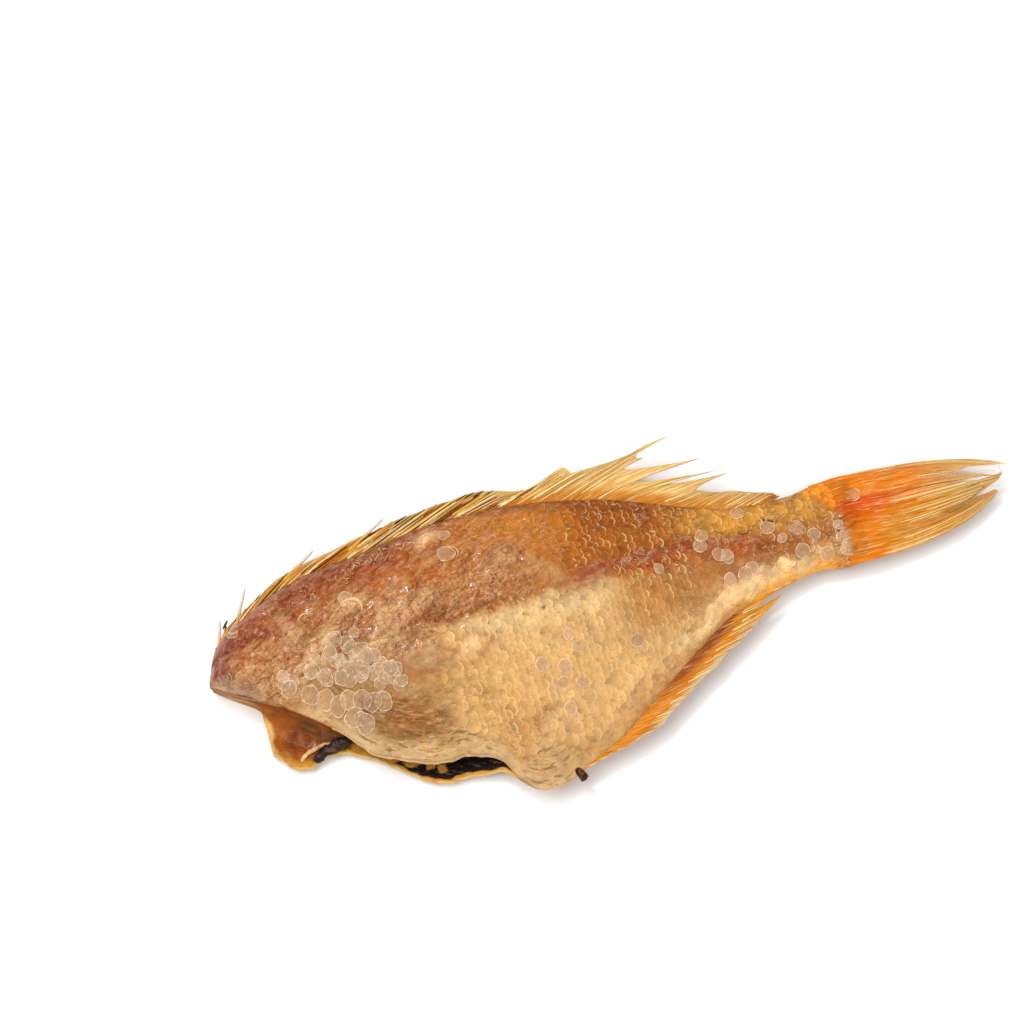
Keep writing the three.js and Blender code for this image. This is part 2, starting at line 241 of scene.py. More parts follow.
def folds(x, y):
    """Broad folds: a groove along the backbone, a trough under the back fin and a fold that runs
    up over the belly from the vent."""
    groove = GROOVE_DEPTH * bell(y - septum_line(x), GROOVE_WIDTH)
    groove = groove * np.clip((x - 20) / 25, 0, 1) * np.clip((195 - x) / 25, 0, 1)
    trough = TROUGH_DEPTH * bell(y - back(x) + TROUGH_BELOW_BACK, TROUGH_WIDTH)
    trough = trough * np.clip((170 - x) / 40, 0, 1)
    fold = FOLD_DEPTH * bell(x - belly_fold_line(y), FOLD_WIDTH) * np.clip((-6 - y) / 8, 0, 1)
    return -groove - trough - fold


def lump_share(x, y):
    """Round humps: for each, a bell in the distance from its middle along a line that rises to the
    right with the muscles."""
    total = 0
    for cx, cy, long, wide, rise in LUMPS:
        along, across = mix(x - cx, y - cy, MUSCLE_SLANT), mix(y - cy, cx - x, MUSCLE_SLANT)
        total = total + rise * np.exp(-(along / long) ** 2 - (across / wide) ** 2)
    return total


# The crease that parts the back from the flank's muscle behind the neck.
NECK_CREASE = [(2, 6.6), (8.6, 9.7), (14.6, 10.7), (24.8, 10.6), (31.7, 13.2)]


def belly_skin(x, y):
    """1 on the thin wrinkled skin over the gut, 0 on the muscle."""
    above = y - upper_lip(x)
    return fade(above, 22, 11) * fade(x, 24, 40) * fade(x, 108, 94)


LEAST_ROUGH = 0.35  # how crumpled the smoothest skin still is


def roughness_of(x, y):
    """How crumpled the skin is: most over the front muscles and along the back's rear."""
    front = fade(x, 120, 92) * fade(y - 0.1 * x, -18, -10)
    rear = fade(x, 116, 136) * fade(y - septum_line(x), -1, 3)
    stalk = fade(x, 196, 204)
    return mix(LEAST_ROUGH, 1, np.maximum(np.maximum(front, 0.8 * rear), stalk))


def scale_cover(x, y):
    """Where scales still sit in neat rows: the middle and rear of the flank and along the back,
    less so towards the front and the belly."""
    off, below, above = y - septum_line(x), back(x) - y, y - upper_lip(x)
    central = fade(x, 60, 84) * fade(off, 0.5, -2) * fade(above, 3, 10) * fade(x, 160, 142)
    rear_back = (0.9 - 0.36 * fade(x, 166, 182)) * fade(x, 108, 124) * fade(off, 2, 6)
    stalk = 0.6 * fade(x, 172, 184) * fade(above, 3, 6) * fade(x, 205, 200)
    patchy = 0.85 + 0.5 * grain(flat(x, y), 9, 81)
    bare = bell(x - 94, 9) * fade(above, 17, 9)
    cover = np.clip(np.maximum(np.maximum(central, rear_back), stalk) * patchy, 0, 1)
    return cover * fade(below, 0.5, 2.5) * (1 - bare)


def crumpling(x, y):
    """Crumpled hide in millimetres: creases where a noise crosses zero and crumples of two sizes,
    all drawn out along the muscles."""
    at = flat(x, y)
    tilted = flat(x + 0.9 * grain(at, 4, 27), 1.7 * (y - 0.35 * x) + 0.9 * grain(at, 4, 28))
    creases = 0.7 * np.minimum(np.abs(grain(tilted, 5.6, 23)) / 0.22, 1)
    return creases + 0.34 * grain(tilted, 3.2, 24) + 0.08 * grain(at, 1.4, 25)


def relief(x, y):
    """Fine relief of the shown flank: swellings of two sizes, crumpled hide, wrinkles that run with
    the belly's edge, a furrow that leads into the backbone groove, and the lumps. Where scales
    sit the hide is smooth."""
    at = flat(x, y)
    rough = roughness_of(x, y) * (1 - 0.75 * scale_cover(x, y))
    swellings = 0.75 * grain(at, 12, 21) + 1.05 * rough * grain(at, 5.2, 22)
    along_edge = flat(x, y - upper_lip(x))
    wrinkles = 0.5 * grain(along_edge, (9, 1.9, 1), 25) + 0.34 * grain(along_edge, (5, 1.1, 1), 26)
    furrow = FURROW_DEPTH * bell(y - furrow_line(x), FURROW_WIDTH) * fade(x, 38, 50) * fade(x, 104, 84)
    furrow = furrow + CREASE_DEPTH * near_line(x, y, NECK_CREASE, CREASE_WIDTH)
    return swellings + rough * crumpling(x, y) + wrinkles * belly_skin(x, y) - furrow + lump_share(x, y)


def under_relief(x, y):
    """Fine relief of the hidden flank: swellings and crinkles."""
    at = flat(x, y)
    return 0.35 * grain(at, 8, 41) + 0.2 * grain(at, 3, 42) + 0.08 * grain(at, 1.5, 43)


def skin_height(x, y, side):
    """Height of the skin, +1 for the shown side and -1 for the hidden one: a straight line from the
    lip's height to the ridge's, an arch over or under it, and the relief, which dies away at the
    edges. The hidden side is flat where it rests on the table."""
    edge = upper_lip(x) if side > 0 else lower_lip(x)
    edge_height = lip_height(x, side)
    share = np.clip((y - edge) / (back(x) - edge), 0, 1)
    q = share ** CREST_POWER
    arch = (4 * q * (1 - q)) ** (UPPER_FULLNESS if side > 0 else LOWER_FULLNESS)
    under_crest = mix(edge_height, ridge_height(x), 0.5 ** (1 / CREST_POWER))
    crest = top_height(x) if side > 0 else low_height(x)
    height = (mix(edge_height, ridge_height(x), share) + (crest - under_crest) * arch) * neck_rounding(x, y)
    near = np.minimum(1, 3 * arch)
    if side > 0:
        return height + (folds(x, y) + relief(x, y)) * near
    return np.maximum(0, height + under_relief(x, y) * near)


# ---- The trunk's sections.
CUT_STEPS = 30  # steps that find a point on the head's cut
CROWDING = 1.3  # power that draws a section's columns towards its edges


def slanted(station, share, edge, reach, side):
    """x and y of a point at a share of the way from edge to reach. The sections follow the head's
    cut at the neck and stand upright further back; where the line meets the cut is found by
    stepping half way to it again and again."""
    cut = np.zeros_like(share)
    for _ in range(CUT_STEPS):
        cut = mix(cut, neck_cut(mix(edge(cut), reach(cut), share), side), 0.5)
    x = station + cut * np.maximum(0, 1 - station / NECK_BLEND)
    return x, mix(edge(x), reach(x), share)


def crowded(t):
    """Shares from 0 to 1 that lie closer together towards both ends."""
    away = 2 * t - 1
    return 0.5 + 0.5 * np.sign(away) * (1 - (1 - np.abs(away)) ** CROWDING)


def lip_of(side):
    """The edge of a side's flap."""
    return upper_lip if side > 0 else lower_lip


def skin_points(station, t, side):
    """Points of a flank's skin: t runs from the belly's edge to the back."""
    x, y = slanted(station, crowded(t), lip_of(side), back, side)
    return flat(x, y, skin_height(x, y, side))


def lining_points(station, t, side):
    """Points of the belly cavity's wall: the skin less the flap's thickness at the lip, closing on
    the line half way between the flanks at the cavity's end."""
    x, y = slanted(station, t, lip_of(side), cavity_end, side)
    end = cavity_end(x)
    middle = (skin_height(x, end, 1) + skin_height(x, end, -1)) / 2
    return flat(x, y, mix(skin_height(x, y, side) - side * wall_at(x), middle, t ** 3))


def lip_points(station, t, side):
    """The rounded edge of a flap, from its skin to its lining: a half circle pushed outwards."""
    zero = np.zeros((1, 1))
    share = (1 - np.cos(np.pi * t)) / 2
    points = mix(skin_points(station, zero, side), lining_points(station, zero, side), share[..., None])
    points[..., 1] -= LIP_ROUND * np.sin(np.pi * t) * wall_at(points[..., 0]) / WALL
    return points


# ---- Colours of the dried tissues, from 0 to 255, as each looks with its gloss.
SHEEN = 0.038  # white that the oily gloss adds to a tissue's own colour
LEAST_PIGMENT = 0.3  # the share of a dark colour that is left when its gloss is taken off


def dye(red, green, blue):
    """The pigment of a tissue that looks so with its gloss: the colour as linear light, less the
    white of the gloss."""
    v = np.array([red, green, blue]) / 255
    light = np.where(v <= 0.04045, v / 12.92, ((v + 0.055) / 1.055) ** 2.4)
    return np.maximum(light - SHEEN, LEAST_PIGMENT * light)


def paint(tone, *coats):
    """Lays coats over a tone one after another, each a colour and its amount from 0 to 1."""
    for colour, amount in coats:
        tone = mix(tone, colour, np.clip(amount, 0, 1)[..., None])
    return tone


def over_all(colour, x):
    """One colour at every point of x."""
    return np.broadcast_to(colour, (*x.shape, 3))


FLANK_TAN = dye(214, 169, 112)
PALE_FLANK = dye(227, 196, 148)
PEACH = dye(226, 175, 113)
CREAM = dye(250, 208, 148)
GREY_TAN = dye(180, 137, 88)
LIP_PALE = dye(226, 186, 134)
BELLY_BROWN = dye(156, 106, 62)
DULL_BROWN = dye(174, 116, 74)
MUSCLE_PINK = dye(190, 128, 77)
FRONT_PEACH = dye(202, 144, 94)
PURPLE_BROWN = dye(146, 82, 44)
ORANGE_AMBER = dye(202, 131, 58)
AMBER_BROWN = dye(186, 113, 46)
REAR_AMBER = dye(179, 109, 44)
OLIVE_BROWN = dye(152, 88, 28)
OLIVE_TAN = dye(208, 147, 74)
MAUVE_BROWN = dye(184, 129, 80)
TERRACOTTA = dye(164, 90, 42)
# Also painted as shade round the lumps' feet and in the crumples' troughs.
DARK_RED = dye(150, 84, 38)
# Painted shadow: the dark band that the back fin's root casts along the back's edge.
FIN_ROOT_SHADOW_BROWN = dye(134, 76, 32)
# Painted highlight on the lumps' tops and on the crumples' crests.
LUMP_HIGHLIGHT = dye(226, 182, 130)
NECK_TAN = dye(180, 128, 66)
NECK_BROWN = dye(132, 66, 18)
NECK_GOLD = dye(226, 158, 66)
TAIL_ORANGE = dye(238, 142, 30)
TAIL_PALE_ORANGE = dye(244, 174, 84)
TAIL_CORE = dye(220, 102, 18)
SLIT_DARK = dye(48, 26, 14)
SPECK_GREY = dye(96, 74, 44)

band_line = through((0, 0), (20, 5), (36, 13), (58, 13), (72, 10), (82, 14), (96, 17), (108, 14), (118, 4),
                    (130, 1), (142, 1), (160, 2))


def skin_tone(points, side):
    """The skin's colour: tissues painted one over another by where they lie between the belly's
    edge, the backbone and the back, on coordinates that noise has pushed about. A painted shadow
    lies under the back fin's root, and on the shown side painted highlight and shade follow the
    lumps and crumples."""
    x = points[..., 0] + 2.6 * grain(points, 9, 31 + side) + 1.5 * grain(points, 3.2, 34 + side)
    y = points[..., 1] + 2.2 * grain(points, 9, 37 + side) + 1.5 * grain(points, 3.2, 40 + side)
    above = y - upper_cut(x)
    below = back(x) - y
    off = y - septum_line(x)
    share = above / np.maximum(above + below, 1)
    from_cut = x - neck_cut(y, side)
    over_opening = fade(y, -14, -9)
    band = fade(y - band_line(x), -2.5, 2.5) * fade(x, 172, 146)
    olive = fade(x, 144, 166) * fade(off, 2, 7) * fade(x, 206, 196)
    specks = fade(grain(flat(x, y), 1.3, 57), 0.2, 0.5) * bell(x - 190, 6) * fade(below, 6, 3)
    spine = bell(off - 0.8, 2.4 + 1.6 * fade(x, 100, 130)) * fade(x, 14, 34) * fade(x, 196, 172)
    furrow = bell(y - furrow_line(x) - 0.8 * grain(flat(x, 0), 5, 55), 1.3)
    furrow = furrow * fade(x, 40, 52) * fade(x, 100, 82)
    torn_edge = 7 + 2.4 * grain(flat(x, y), 4, 54)
    pale_edge = fade(x, 136, 148) * fade(x, 198, 186) * fade(above, torn_edge + 0.7, torn_edge)
    tail = mix(TAIL_CORE, TAIL_ORANGE, fade(np.abs(off - 1), 3, 9)[..., None])
    tone = paint(
        over_all(FLANK_TAN, x),
        # The flank and the belly.
        (PALE_FLANK, 0.6 * bell(off + 6, 7) * fade(x, 72, 92) * fade(x, 138, 122)),
        (PEACH, 0.6 * bell(x - 122, 22) * fade(share, 0.3, 0.1)),
        (FRONT_PEACH, fade(x, 40, 24) * fade(off, 6, -2)),
        (GREY_TAN, fade(x, 26, 40) * fade(x, 76, 62) * fade(share, 0.56, 0.44)),
        (BELLY_BROWN, 0.95 * bell(x - 55, 10) * bell(above - 12.5, 5.5)),
        (DULL_BROWN, 0.75 * bell(x - 52, 11) * bell(off + 4, 6.5)),
        (DULL_BROWN, 0.5 * bell(x - 88, 7) * bell(share - 0.2, 0.07)),
        (LIP_PALE, fade(above, 7, 2) * fade(x, 18, 30) * fade(x, 108, 96)),
        (MUSCLE_PINK, 0.9 * fade(off, -1.5, 2) * fade(x, 124, 104) * fade(x, 8, 26)),
        (MAUVE_BROWN, fade(x, 118, 142) * fade(share, 0.18, 0.34) * fade(x, 212, 202)),
        (TERRACOTTA, 0.6 * fade(x, 140, 166) * bell(off + 1.5, 4.5) * fade(x, 206, 196)),
        # The back.
        (AMBER_BROWN, band),
        (ORANGE_AMBER, 0.9 * band * bell(x - 102, 18) * fade(below, 24, 12)),
        (OLIVE_BROWN, 0.95 * band * fade(x, 114, 128)),
        (REAR_AMBER, 0.8 * band * bell(x - 138, 22) * bell(share - 0.72, 0.13)),
        (PURPLE_BROWN, 0.9 * fade(x, 80, 62) * bell(below - 6, 8)),
        (NECK_BROWN, 0.8 * near_line(x, y, NECK_CREASE, 3.6)),
        # Painted shadow of the back fin's root along the back's edge.
        (FIN_ROOT_SHADOW_BROWN, 0.75 * fade(below, 4.4, 1.4) * fade(x, 172, 160)),
        (OLIVE_BROWN, 0.85 * fade(below, 9, 3) * bell(x - 144, 26)),
        (OLIVE_TAN, olive * fade(below, -1, 4 - 4 * fade(x, 156, 166))),
        (SPECK_GREY, 0.7 * specks),
        # The line of the backbone, the furrow and the belly's pale rear edge.
        (TERRACOTTA, 0.8 * spine * (0.45 + 0.55 * fade(x, 96, 122))),
        (DARK_RED, 0.75 * furrow),
        (CREAM, pale_edge * fade(above, 0.6, 2.6)),
        (TAIL_PALE_ORANGE, fade(x, 158, 176) * fade(above, 3.6 + 3 * fade(x, 190, 202), 1)),
        # The neck and the tail fin's root.
        (NECK_TAN, 0.85 * over_opening * fade(from_cut, 9, 3) * fade(off, 3, -1)),
        (NECK_BROWN, 0.85 * fade(from_cut, 12, 4) * fade(off, 0, 4)),
        (NECK_GOLD, 0.85 * over_opening * fade(from_cut, 2.2, 1) * fade(off, 3, -1)),
        (tail, fade(x + 0.9 * np.abs(off), 204, 214)))
    if side > 0:
        at_x, at_y = points[..., 0], points[..., 1]
        lumps = lump_share(x, y) * fade(x, 108, 98)
        crumple = crumpling(at_x, at_y)
        hide = roughness_of(x, y) * (1 - scale_cover(x, y)) * (1 - belly_skin(x, y)) * fade(x, 208, 200)
        hide = hide * (1 - 0.7 * bell(below - 6, 8))
        tone = paint(
            tone,
            # Painted shade round each lump's foot.
            (DARK_RED, 0.55 * bell(lumps - 0.24, 0.12) * fade(above, 14, 20)),
            # Painted highlight on the lumps' tops.
            (LUMP_HIGHLIGHT, 0.75 * lumps),
            # Painted highlight on the crumples' crests.
            (LUMP_HIGHLIGHT, 0.3 * hide * fade(crumple, 0.6, 0.95)),
            # Painted shade in the crumples' troughs.
            (DARK_RED, 0.5 * hide * fade(crumple, 0.3, 0)),
            (SLIT_DARK, near_line(at_x, at_y, [(180, 7.8), (182, 7.2), (184.4, 5.6)], 0.9)),
            (SLIT_DARK, 0.8 * near_line(at_x, at_y, [(104.8, -4.4), (105.2, -4.2)], 0.8)))
    light = 1 + 0.13 * grain(points, 4.5, 51) + 0.12 * grain(points, 1.9, 52)
    warmth = 0.06 * grain(points, 3.1, 53)[..., None] * np.array([0.6, 0.2, -1.6])
    return np.clip(tone * (light[..., None] + warmth), 0.004, 1)


LINING_BLACK = dye(44, 32, 30)
ROLL_PLUM = dye(70, 52, 52)
FLAP_AMBER = dye(170, 102, 34)
FLAP_OLIVE = dye(124, 86, 44)
FLAP_RED_BROWN = dye(134, 77, 30)
FLAP_GOLD = dye(218, 158, 78)
RIM_CREAM = dye(236, 196, 126)
FLAKE_GOLD = dye(218, 156, 74)
MEMBRANE_CREAM = dye(222, 182, 128)
ROLL_LINE = [(25.2, -26.6), (28.2, -25.2), (32.1, -24.2), (36, -23.4), (38.5, -22.3)]
FOLD_LINE = [(20, -26.3), (22.4, -24.5), (25.5, -23.2), (31.6, -22.5)]
# Patches where the black lining has flaked off: x, y, half length, half width.
FLAKES = [(48.5, -33, 2.6, 1), (54.5, -35.5, 3, 1.1), (59.5, -37.6, 1.6, 1.3), (62.8, -39.4, 1.5, 1.6)]
FLAKE_SOFTNESS = 0.5  # width over which a flake's edge fades


def lining_tone(points, side):
    """The cavity wall's colour: black, and near the neck glossy amber flesh with a red-brown middle,
    a plum roll and a golden strip; golden flakes in the black and a golden rim."""
    x = points[..., 0] + 0.8 * grain(points, 3, 61)
    y = points[..., 1] + 0.7 * grain(points, 3, 62)
    inside = y - lip_of(side)(points[..., 0])
    flaked = [(FLAKE_GOLD, fade(np.abs(x - cx), half_length, half_length - FLAKE_SOFTNESS)
               * fade(np.abs(y - cy), half_width, half_width - FLAKE_SOFTNESS))
              for cx, cy, half_length, half_width in FLAKES]
    tone = paint(
        over_all(LINING_BLACK, x),
        (FLAP_AMBER, fade(x, 46, 38)),
        (FLAP_OLIVE, 0.9 * near_line(x, y, [(25, -15.5), (30, -19.5), (36, -23)], 3.4)),
        (FLAP_RED_BROWN, near_line(x, y, [(22.4, -15.7), (19.8, -18.5), (20.6, -21.5), (25, -20)], 3.4)),
        (FLAP_GOLD, 0.9 * near_line(x, y, [(38, -24), (42.5, -29), (47, -33.6)], 3)),
        (FLAP_GOLD, 0.9 * near_line(x, y, [(15, -23), (19, -26.6), (24, -27.4)], 2.6)),
        (ROLL_PLUM, near_line(x, y, ROLL_LINE, 2.2)),
        *flaked,
        (FLAP_GOLD, fade(inside, 0.9, 0.4)),
        (RIM_CREAM, 0.8 * fade(x, 15.4, 13.8) * fade(y, -8, -11)))
    light = 1 + 0.2 * grain(points, 2.4, 63) + 0.12 * grain(points, 1.1, 64)
    return tone * light[..., None]


FLESH = dye(226, 168, 104)
FLESH_DARK = dye(166, 96, 46)


def flesh_tone(points):
    """The head's cut: amber flesh with darker streaks."""
    tone = paint(over_all(FLESH, points[..., 0]), (FLESH_DARK, 0.4 + 0.6 * grain(points, 2.6, 71)))
    return tone * (1 + 0.15 * grain(points, 1.1, 72))[..., None]


# ---- Making meshes.
SHARP_FROM = 80  # degrees: edges that turn more than this are shaded sharp
JOIN_DIGITS = 4  # points that agree to this many decimals are joined
MARK_KINDS = {1: ("FLOAT", "value"), 3: ("FLOAT_VECTOR", "vector"), 4: ("FLOAT_COLOR", "color")}


class Patches:
    """Grids of points that are joined where they touch into one closed mesh."""

    def __init__(self):
        self.points, self.triangles, self.finish, self.marks, self.count = [], [], [], {}, 0

    def add(self, points, finish=0, inward=False, wrap=False, **marks):
        """Adds one grid, or a stack of them. Rows by columns face the side from which the columns
        turn anticlockwise round the rows' direction, or the other side if inward; wrap joins the
        last column to the first. Marks are values at the points."""
        rows, columns = points.shape[-3:-1]
        number = np.arange(points.size // 3).reshape(-1, rows, columns) + self.count
        if wrap:
            number = np.concatenate([number, number[..., :1]], -1)
        a, b = number[:, :-1, :-1], number[:, 1:, :-1]
        c, d = number[:, 1:, 1:], number[:, :-1, 1:]
        made = np.concatenate([np.stack(corners, -1).reshape(-1, 3) for corners in ((a, b, c), (a, c, d))])
        self.triangles.append(made[:, ::-1] if inward else made)
        self.finish.append(np.full(len(made), finish))
        self.points.append(points.reshape(-1, 3))
        for name, values in marks.items():
            values = np.asarray(values, float)
            width = 1 if values.shape == points.shape[:-1] else values.shape[-1]
            self.marks.setdefault(name, []).append(values.reshape(-1, width))
        self.count += points.size // 3

    def make(self, name, materials, slot):
        """Joins points that lie on one another, drops triangles that have closed up or lie back to
        back, and makes the Blender object."""
        points = np.concatenate(self.points)
        _, first, joined = np.unique(np.round(points, JOIN_DIGITS), axis=0, return_index=True,
                                     return_inverse=True)
        triangles = joined.reshape(-1)[np.concatenate(self.triangles)]
        a, b, c = triangles.T
        _, same, many = np.unique(np.sort(triangles, 1), axis=0, return_inverse=True, return_counts=True)
        whole = (a != b) & (b != c) & (c != a) & (many[same.reshape(-1)] == 1)
        triangles, finish = triangles[whole], np.concatenate(self.finish)[whole]
        mesh = bpy.data.meshes.new(name)
        mesh.vertices.add(len(first))
        placed = (points[first] + FISH_ORIGIN) * TO_METRES
        mesh.vertices.foreach_set("co", placed.astype(np.float32).ravel())
        mesh.loops.add(triangles.size)
        mesh.loops.foreach_set("vertex_index", triangles.astype(np.int32).ravel())
        mesh.polygons.add(len(triangles))
        mesh.polygons.foreach_set("loop_start", np.arange(0, triangles.size, 3, dtype=np.int32))
        mesh.polygons.foreach_set("material_index", finish.astype(np.int32))
        mesh.polygons.foreach_set("use_smooth", np.ones(len(triangles), bool))
        mesh.update(calc_edges=True)
        mesh.set_sharp_from_angle(angle=math.radians(SHARP_FROM))
        for mark, lists in self.marks.items():
            values = np.concatenate(lists)[first]
            if mark == "tone":
                values = np.concatenate([values, np.ones((len(values), 1))], 1)
            kind, field = MARK_KINDS[values.shape[1]]
            mesh.attributes.new(mark, kind, "POINT").data.foreach_set(field, values.ravel())
        for material in materials:
            mesh.materials.append(material)
        piece = bpy.data.objects.new(name, mesh)
        bpy.context.scene.collection.objects.link(piece)
        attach(piece, "root")
        return piece


# ---- Shader nodes.
def put(tree, kind, inputs, **settings):
    """Adds a shader node. An input is given a plain value or another node's output."""
    made = tree.nodes.new("ShaderNode" + kind)
    for name, value in settings.items():
        setattr(made, name, value)
    for name, value in inputs.items():
        if isinstance(value, bpy.types.NodeSocket):
            tree.links.new(value, made.inputs[name])
        else:
            made.inputs[name].default_value = value
    return made


def use(tree, group, inputs):
    """Places a shader group in a material's tree and returns its outputs."""
    return put(tree, "Group", inputs, node_tree=group).outputs


def number(tree, operation, *inputs, clamp=False):
    """A Math node's result."""
    return put(tree, "Math", dict(enumerate(inputs)), operation=operation, use_clamp=clamp).outputs[0]


def product(tree, first, *others):
    """Numbers multiplied together."""
    for other in others:
        first = number(tree, "MULTIPLY", first, other)
    return first


def vector(tree, operation, inputs):
    """A Vector Math node's result."""
    return put(tree, "VectorMath", inputs, operation=operation).outputs[0]


def between(tree, value, low, high, start=0.0, end=1.0):
    """A value mapped smoothly from low..high to start..end."""
    return put(tree, "MapRange", {"Value": value, "From Min": low, "From Max": high, "To Min": start,
                                  "To Max": end}, interpolation_type="SMOOTHSTEP").outputs[0]


def blended(tree, amount, a, b):
    """Colour b laid over colour a."""
    return put(tree, "Mix", {0: amount, 6: a, 7: b}, data_type="RGBA", blend_type="MIX").outputs[2]


def noise(tree, place, per_mm, detail=2.0, roughness=0.5, distortion=0.0):
    """The outputs of a noise texture."""
    return put(tree, "TexNoise", {"Vector": place, "Scale": per_mm, "Detail": detail, "Roughness": roughness,
                                  "Distortion": distortion}).outputs


def wobbled(tree, place, per_mm, reach):
    """A place pushed about by noise."""
    push = vector(tree, "MULTIPLY", {0: noise(tree, place, per_mm)["Color"], 1: (reach, reach, reach)})
    return vector(tree, "ADD", {0: place, 1: push})


def within(tree, distance, width):
    """1 at distance 0, falling evenly to 0 at a width."""
    return number(tree, "SUBTRACT", 1.0, number(tree, "DIVIDE", distance, width), clamp=True)


def effect(name, inputs, outputs, build):
    """A named shader group with the sockets (name, kind, default) in and (name, kind) out. `build`
    adds its nodes, and gives what each output carries."""
    tree = bpy.data.node_groups.new(name, "ShaderNodeTree")
    for label, kind, value in inputs:
        socket = tree.interface.new_socket(label, in_out="INPUT", socket_type="NodeSocket" + kind)
        if value is not None:
            socket.default_value = value
    for label, kind in outputs:
        tree.interface.new_socket(label, in_out="OUTPUT", socket_type="NodeSocket" + kind)
    given, result = tree.nodes.new("NodeGroupInput").outputs, tree.nodes.new("NodeGroupOutput").inputs
    for label, value in build(tree, given).items():
        tree.links.new(value, result[label])
    return tree


def build_mottling(tree, given):
    """Noise that lightens and darkens a colour, and tints it with another in patches."""
    cloud = noise(tree, given["Vector"], given["Per Millimetre"], 4.0, 0.62)
    swing = number(tree, "SUBTRACT", cloud["Fac"], 0.5)
    light = number(tree, "MULTIPLY_ADD", swing, given["Contrast"], 1.0)
    lit = put(tree, "HueSaturation", {"Color": given["Color"], "Value": light})
    patch = noise(tree, given["Vector"], given["Per Millimetre"], distortion=0.6)
    share = between(tree, patch["Fac"], 0.52, 0.66)
    tinted = blended(tree, product(tree, share, given["Tint Amount"]), lit.outputs[0], given["Tint"])
    return {"Color": tinted, "Height": cloud["Fac"]}


def build_creases(tree, given):
    """Thin branching lines where noise crosses its middle value: a mask, 1 in the line."""
    cloud = noise(tree, given["Vector"], given["Per Millimetre"], 3.0, 0.55, 0.4)
    off = number(tree, "ABSOLUTE", number(tree, "SUBTRACT", cloud["Fac"], 0.5))
    return {"Mask": within(tree, off, given["Width"])}


def build_fibres(tree, given):
    """Fine fibres that run one way: noise drawn out along them. Pale and Dark are masks of its crests
    and of its troughs."""
    turned = put(tree, "VectorRotate", {"Vector": given["Vector"], "Angle": given["Angle"]},
                 rotation_type="Z_AXIS")
    squeeze = put(tree, "CombineXYZ", {0: number(tree, "DIVIDE", 1.0, given["Stretch"]), 1: 1.0, 2: 0.6})
    drawn = vector(tree, "MULTIPLY", {0: turned.outputs[0], 1: squeeze.outputs[0]})
    cloud = noise(tree, drawn, given["Per Millimetre"], 3.0, 0.6, 0.5)
    return {"Pale": between(tree, cloud["Fac"], 0.54, 0.66), "Dark": between(tree, cloud["Fac"], 0.46, 0.34)}


def build_pebbles(tree, given):
    """Pebbled hide: uneven cells with a groove between them. Groove is a mask, 1 in the groove."""
    place = wobbled(tree, given["Vector"], 0.9, 2.0)
    edges = put(tree, "TexVoronoi", {"Vector": place, "Scale": given["Per Millimetre"]},
                feature="DISTANCE_TO_EDGE")
    return {"Groove": within(tree, edges.outputs["Distance"], given["Groove Width"])}


def build_flecks(tree, given):
    """Small scattered spots, in a share of the cells of a random lattice."""
    place = wobbled(tree, given["Vector"], 1.2, 1.6)
    cells = put(tree, "TexVoronoi", {"Vector": place, "Scale": given["Per Millimetre"]})
    draw = put(tree, "SeparateColor", {0: cells.outputs["Color"]}).outputs[0]
    chosen = number(tree, "LESS_THAN", draw, given["Share"])
    near = within(tree, cells.outputs["Distance"], given["Size"])
    spot = product(tree, chosen, between(tree, near, 0.0, 0.9, 0.0, 0.75))
    return {"Color": blended(tree, spot, given["Color"], given["Fleck"])}


def build_scale_pockets(tree, given):
    """The lattice of pockets that scales leave in the skin: rows set off by half a pitch, a pale
    rim round each, and the height of each pocket."""
    per_pitch = number(tree, "DIVIDE", 1.0, given["Pitch"])
    scaled = vector(tree, "SCALE", {0: given["Vector"], "Scale": per_pitch})
    axes = put(tree, "SeparateXYZ", {0: scaled}).outputs
    sheared = number(tree, "MULTIPLY_ADD", axes["Y"], 0.5, axes["X"])
    lattice = put(tree, "CombineXYZ", {0: sheared, 1: axes["Y"]})
    edges = put(tree, "TexVoronoi", {"Vector": lattice.outputs[0], "Scale": 1.0, "Randomness": 0.35},
                feature="DISTANCE_TO_EDGE", voronoi_dimensions="2D").outputs["Distance"]
    return {"Rim": between(tree, edges, 0.16, 0.02), "Height": between(tree, edges, 0.0, 0.3)}


WHITE = (1, 1, 1, 1)
PLACE = ("Vector", "Vector", None)
MOTTLING = effect(
    "mottling",
    [("Color", "Color", WHITE), ("Tint", "Color", WHITE), PLACE, ("Per Millimetre", "Float", 0.5),
     ("Contrast", "Float", 0.3), ("Tint Amount", "Float", 0.2)],
    [("Color", "Color"), ("Height", "Float")], build_mottling)
CREASES = effect(
    "creases", [PLACE, ("Per Millimetre", "Float", 0.5), ("Width", "Float", 0.03)], [("Mask", "Float")],
    build_creases)
FIBRES = effect(
    "fibres",
    [PLACE, ("Angle", "Float", 0.0), ("Per Millimetre", "Float", 1.0), ("Stretch", "Float", 5.0)],
    [("Pale", "Float"), ("Dark", "Float")], build_fibres)
PEBBLES = effect(
    "pebbles", [PLACE, ("Per Millimetre", "Float", 0.4), ("Groove Width", "Float", 0.12)],
    [("Groove", "Float")], build_pebbles)
FLECKS = effect(
    "flecks",
    [("Color", "Color", WHITE), ("Fleck", "Color", (0.2, 0.02, 0.01, 1)), PLACE,
     ("Per Millimetre", "Float", 0.25), ("Size", "Float", 0.16), ("Share", "Float", 0.2)],
    [("Color", "Color")], build_flecks)
SCALE_POCKETS = effect(
    "scale pockets", [PLACE, ("Pitch", "Float", 2.2)], [("Rim", "Float"), ("Height", "Float")],
    build_scale_pockets)


def plain(red, green, blue):
    """A tissue's colour with full cover, for a colour socket."""
    return (*dye(red, green, blue), 1.0)


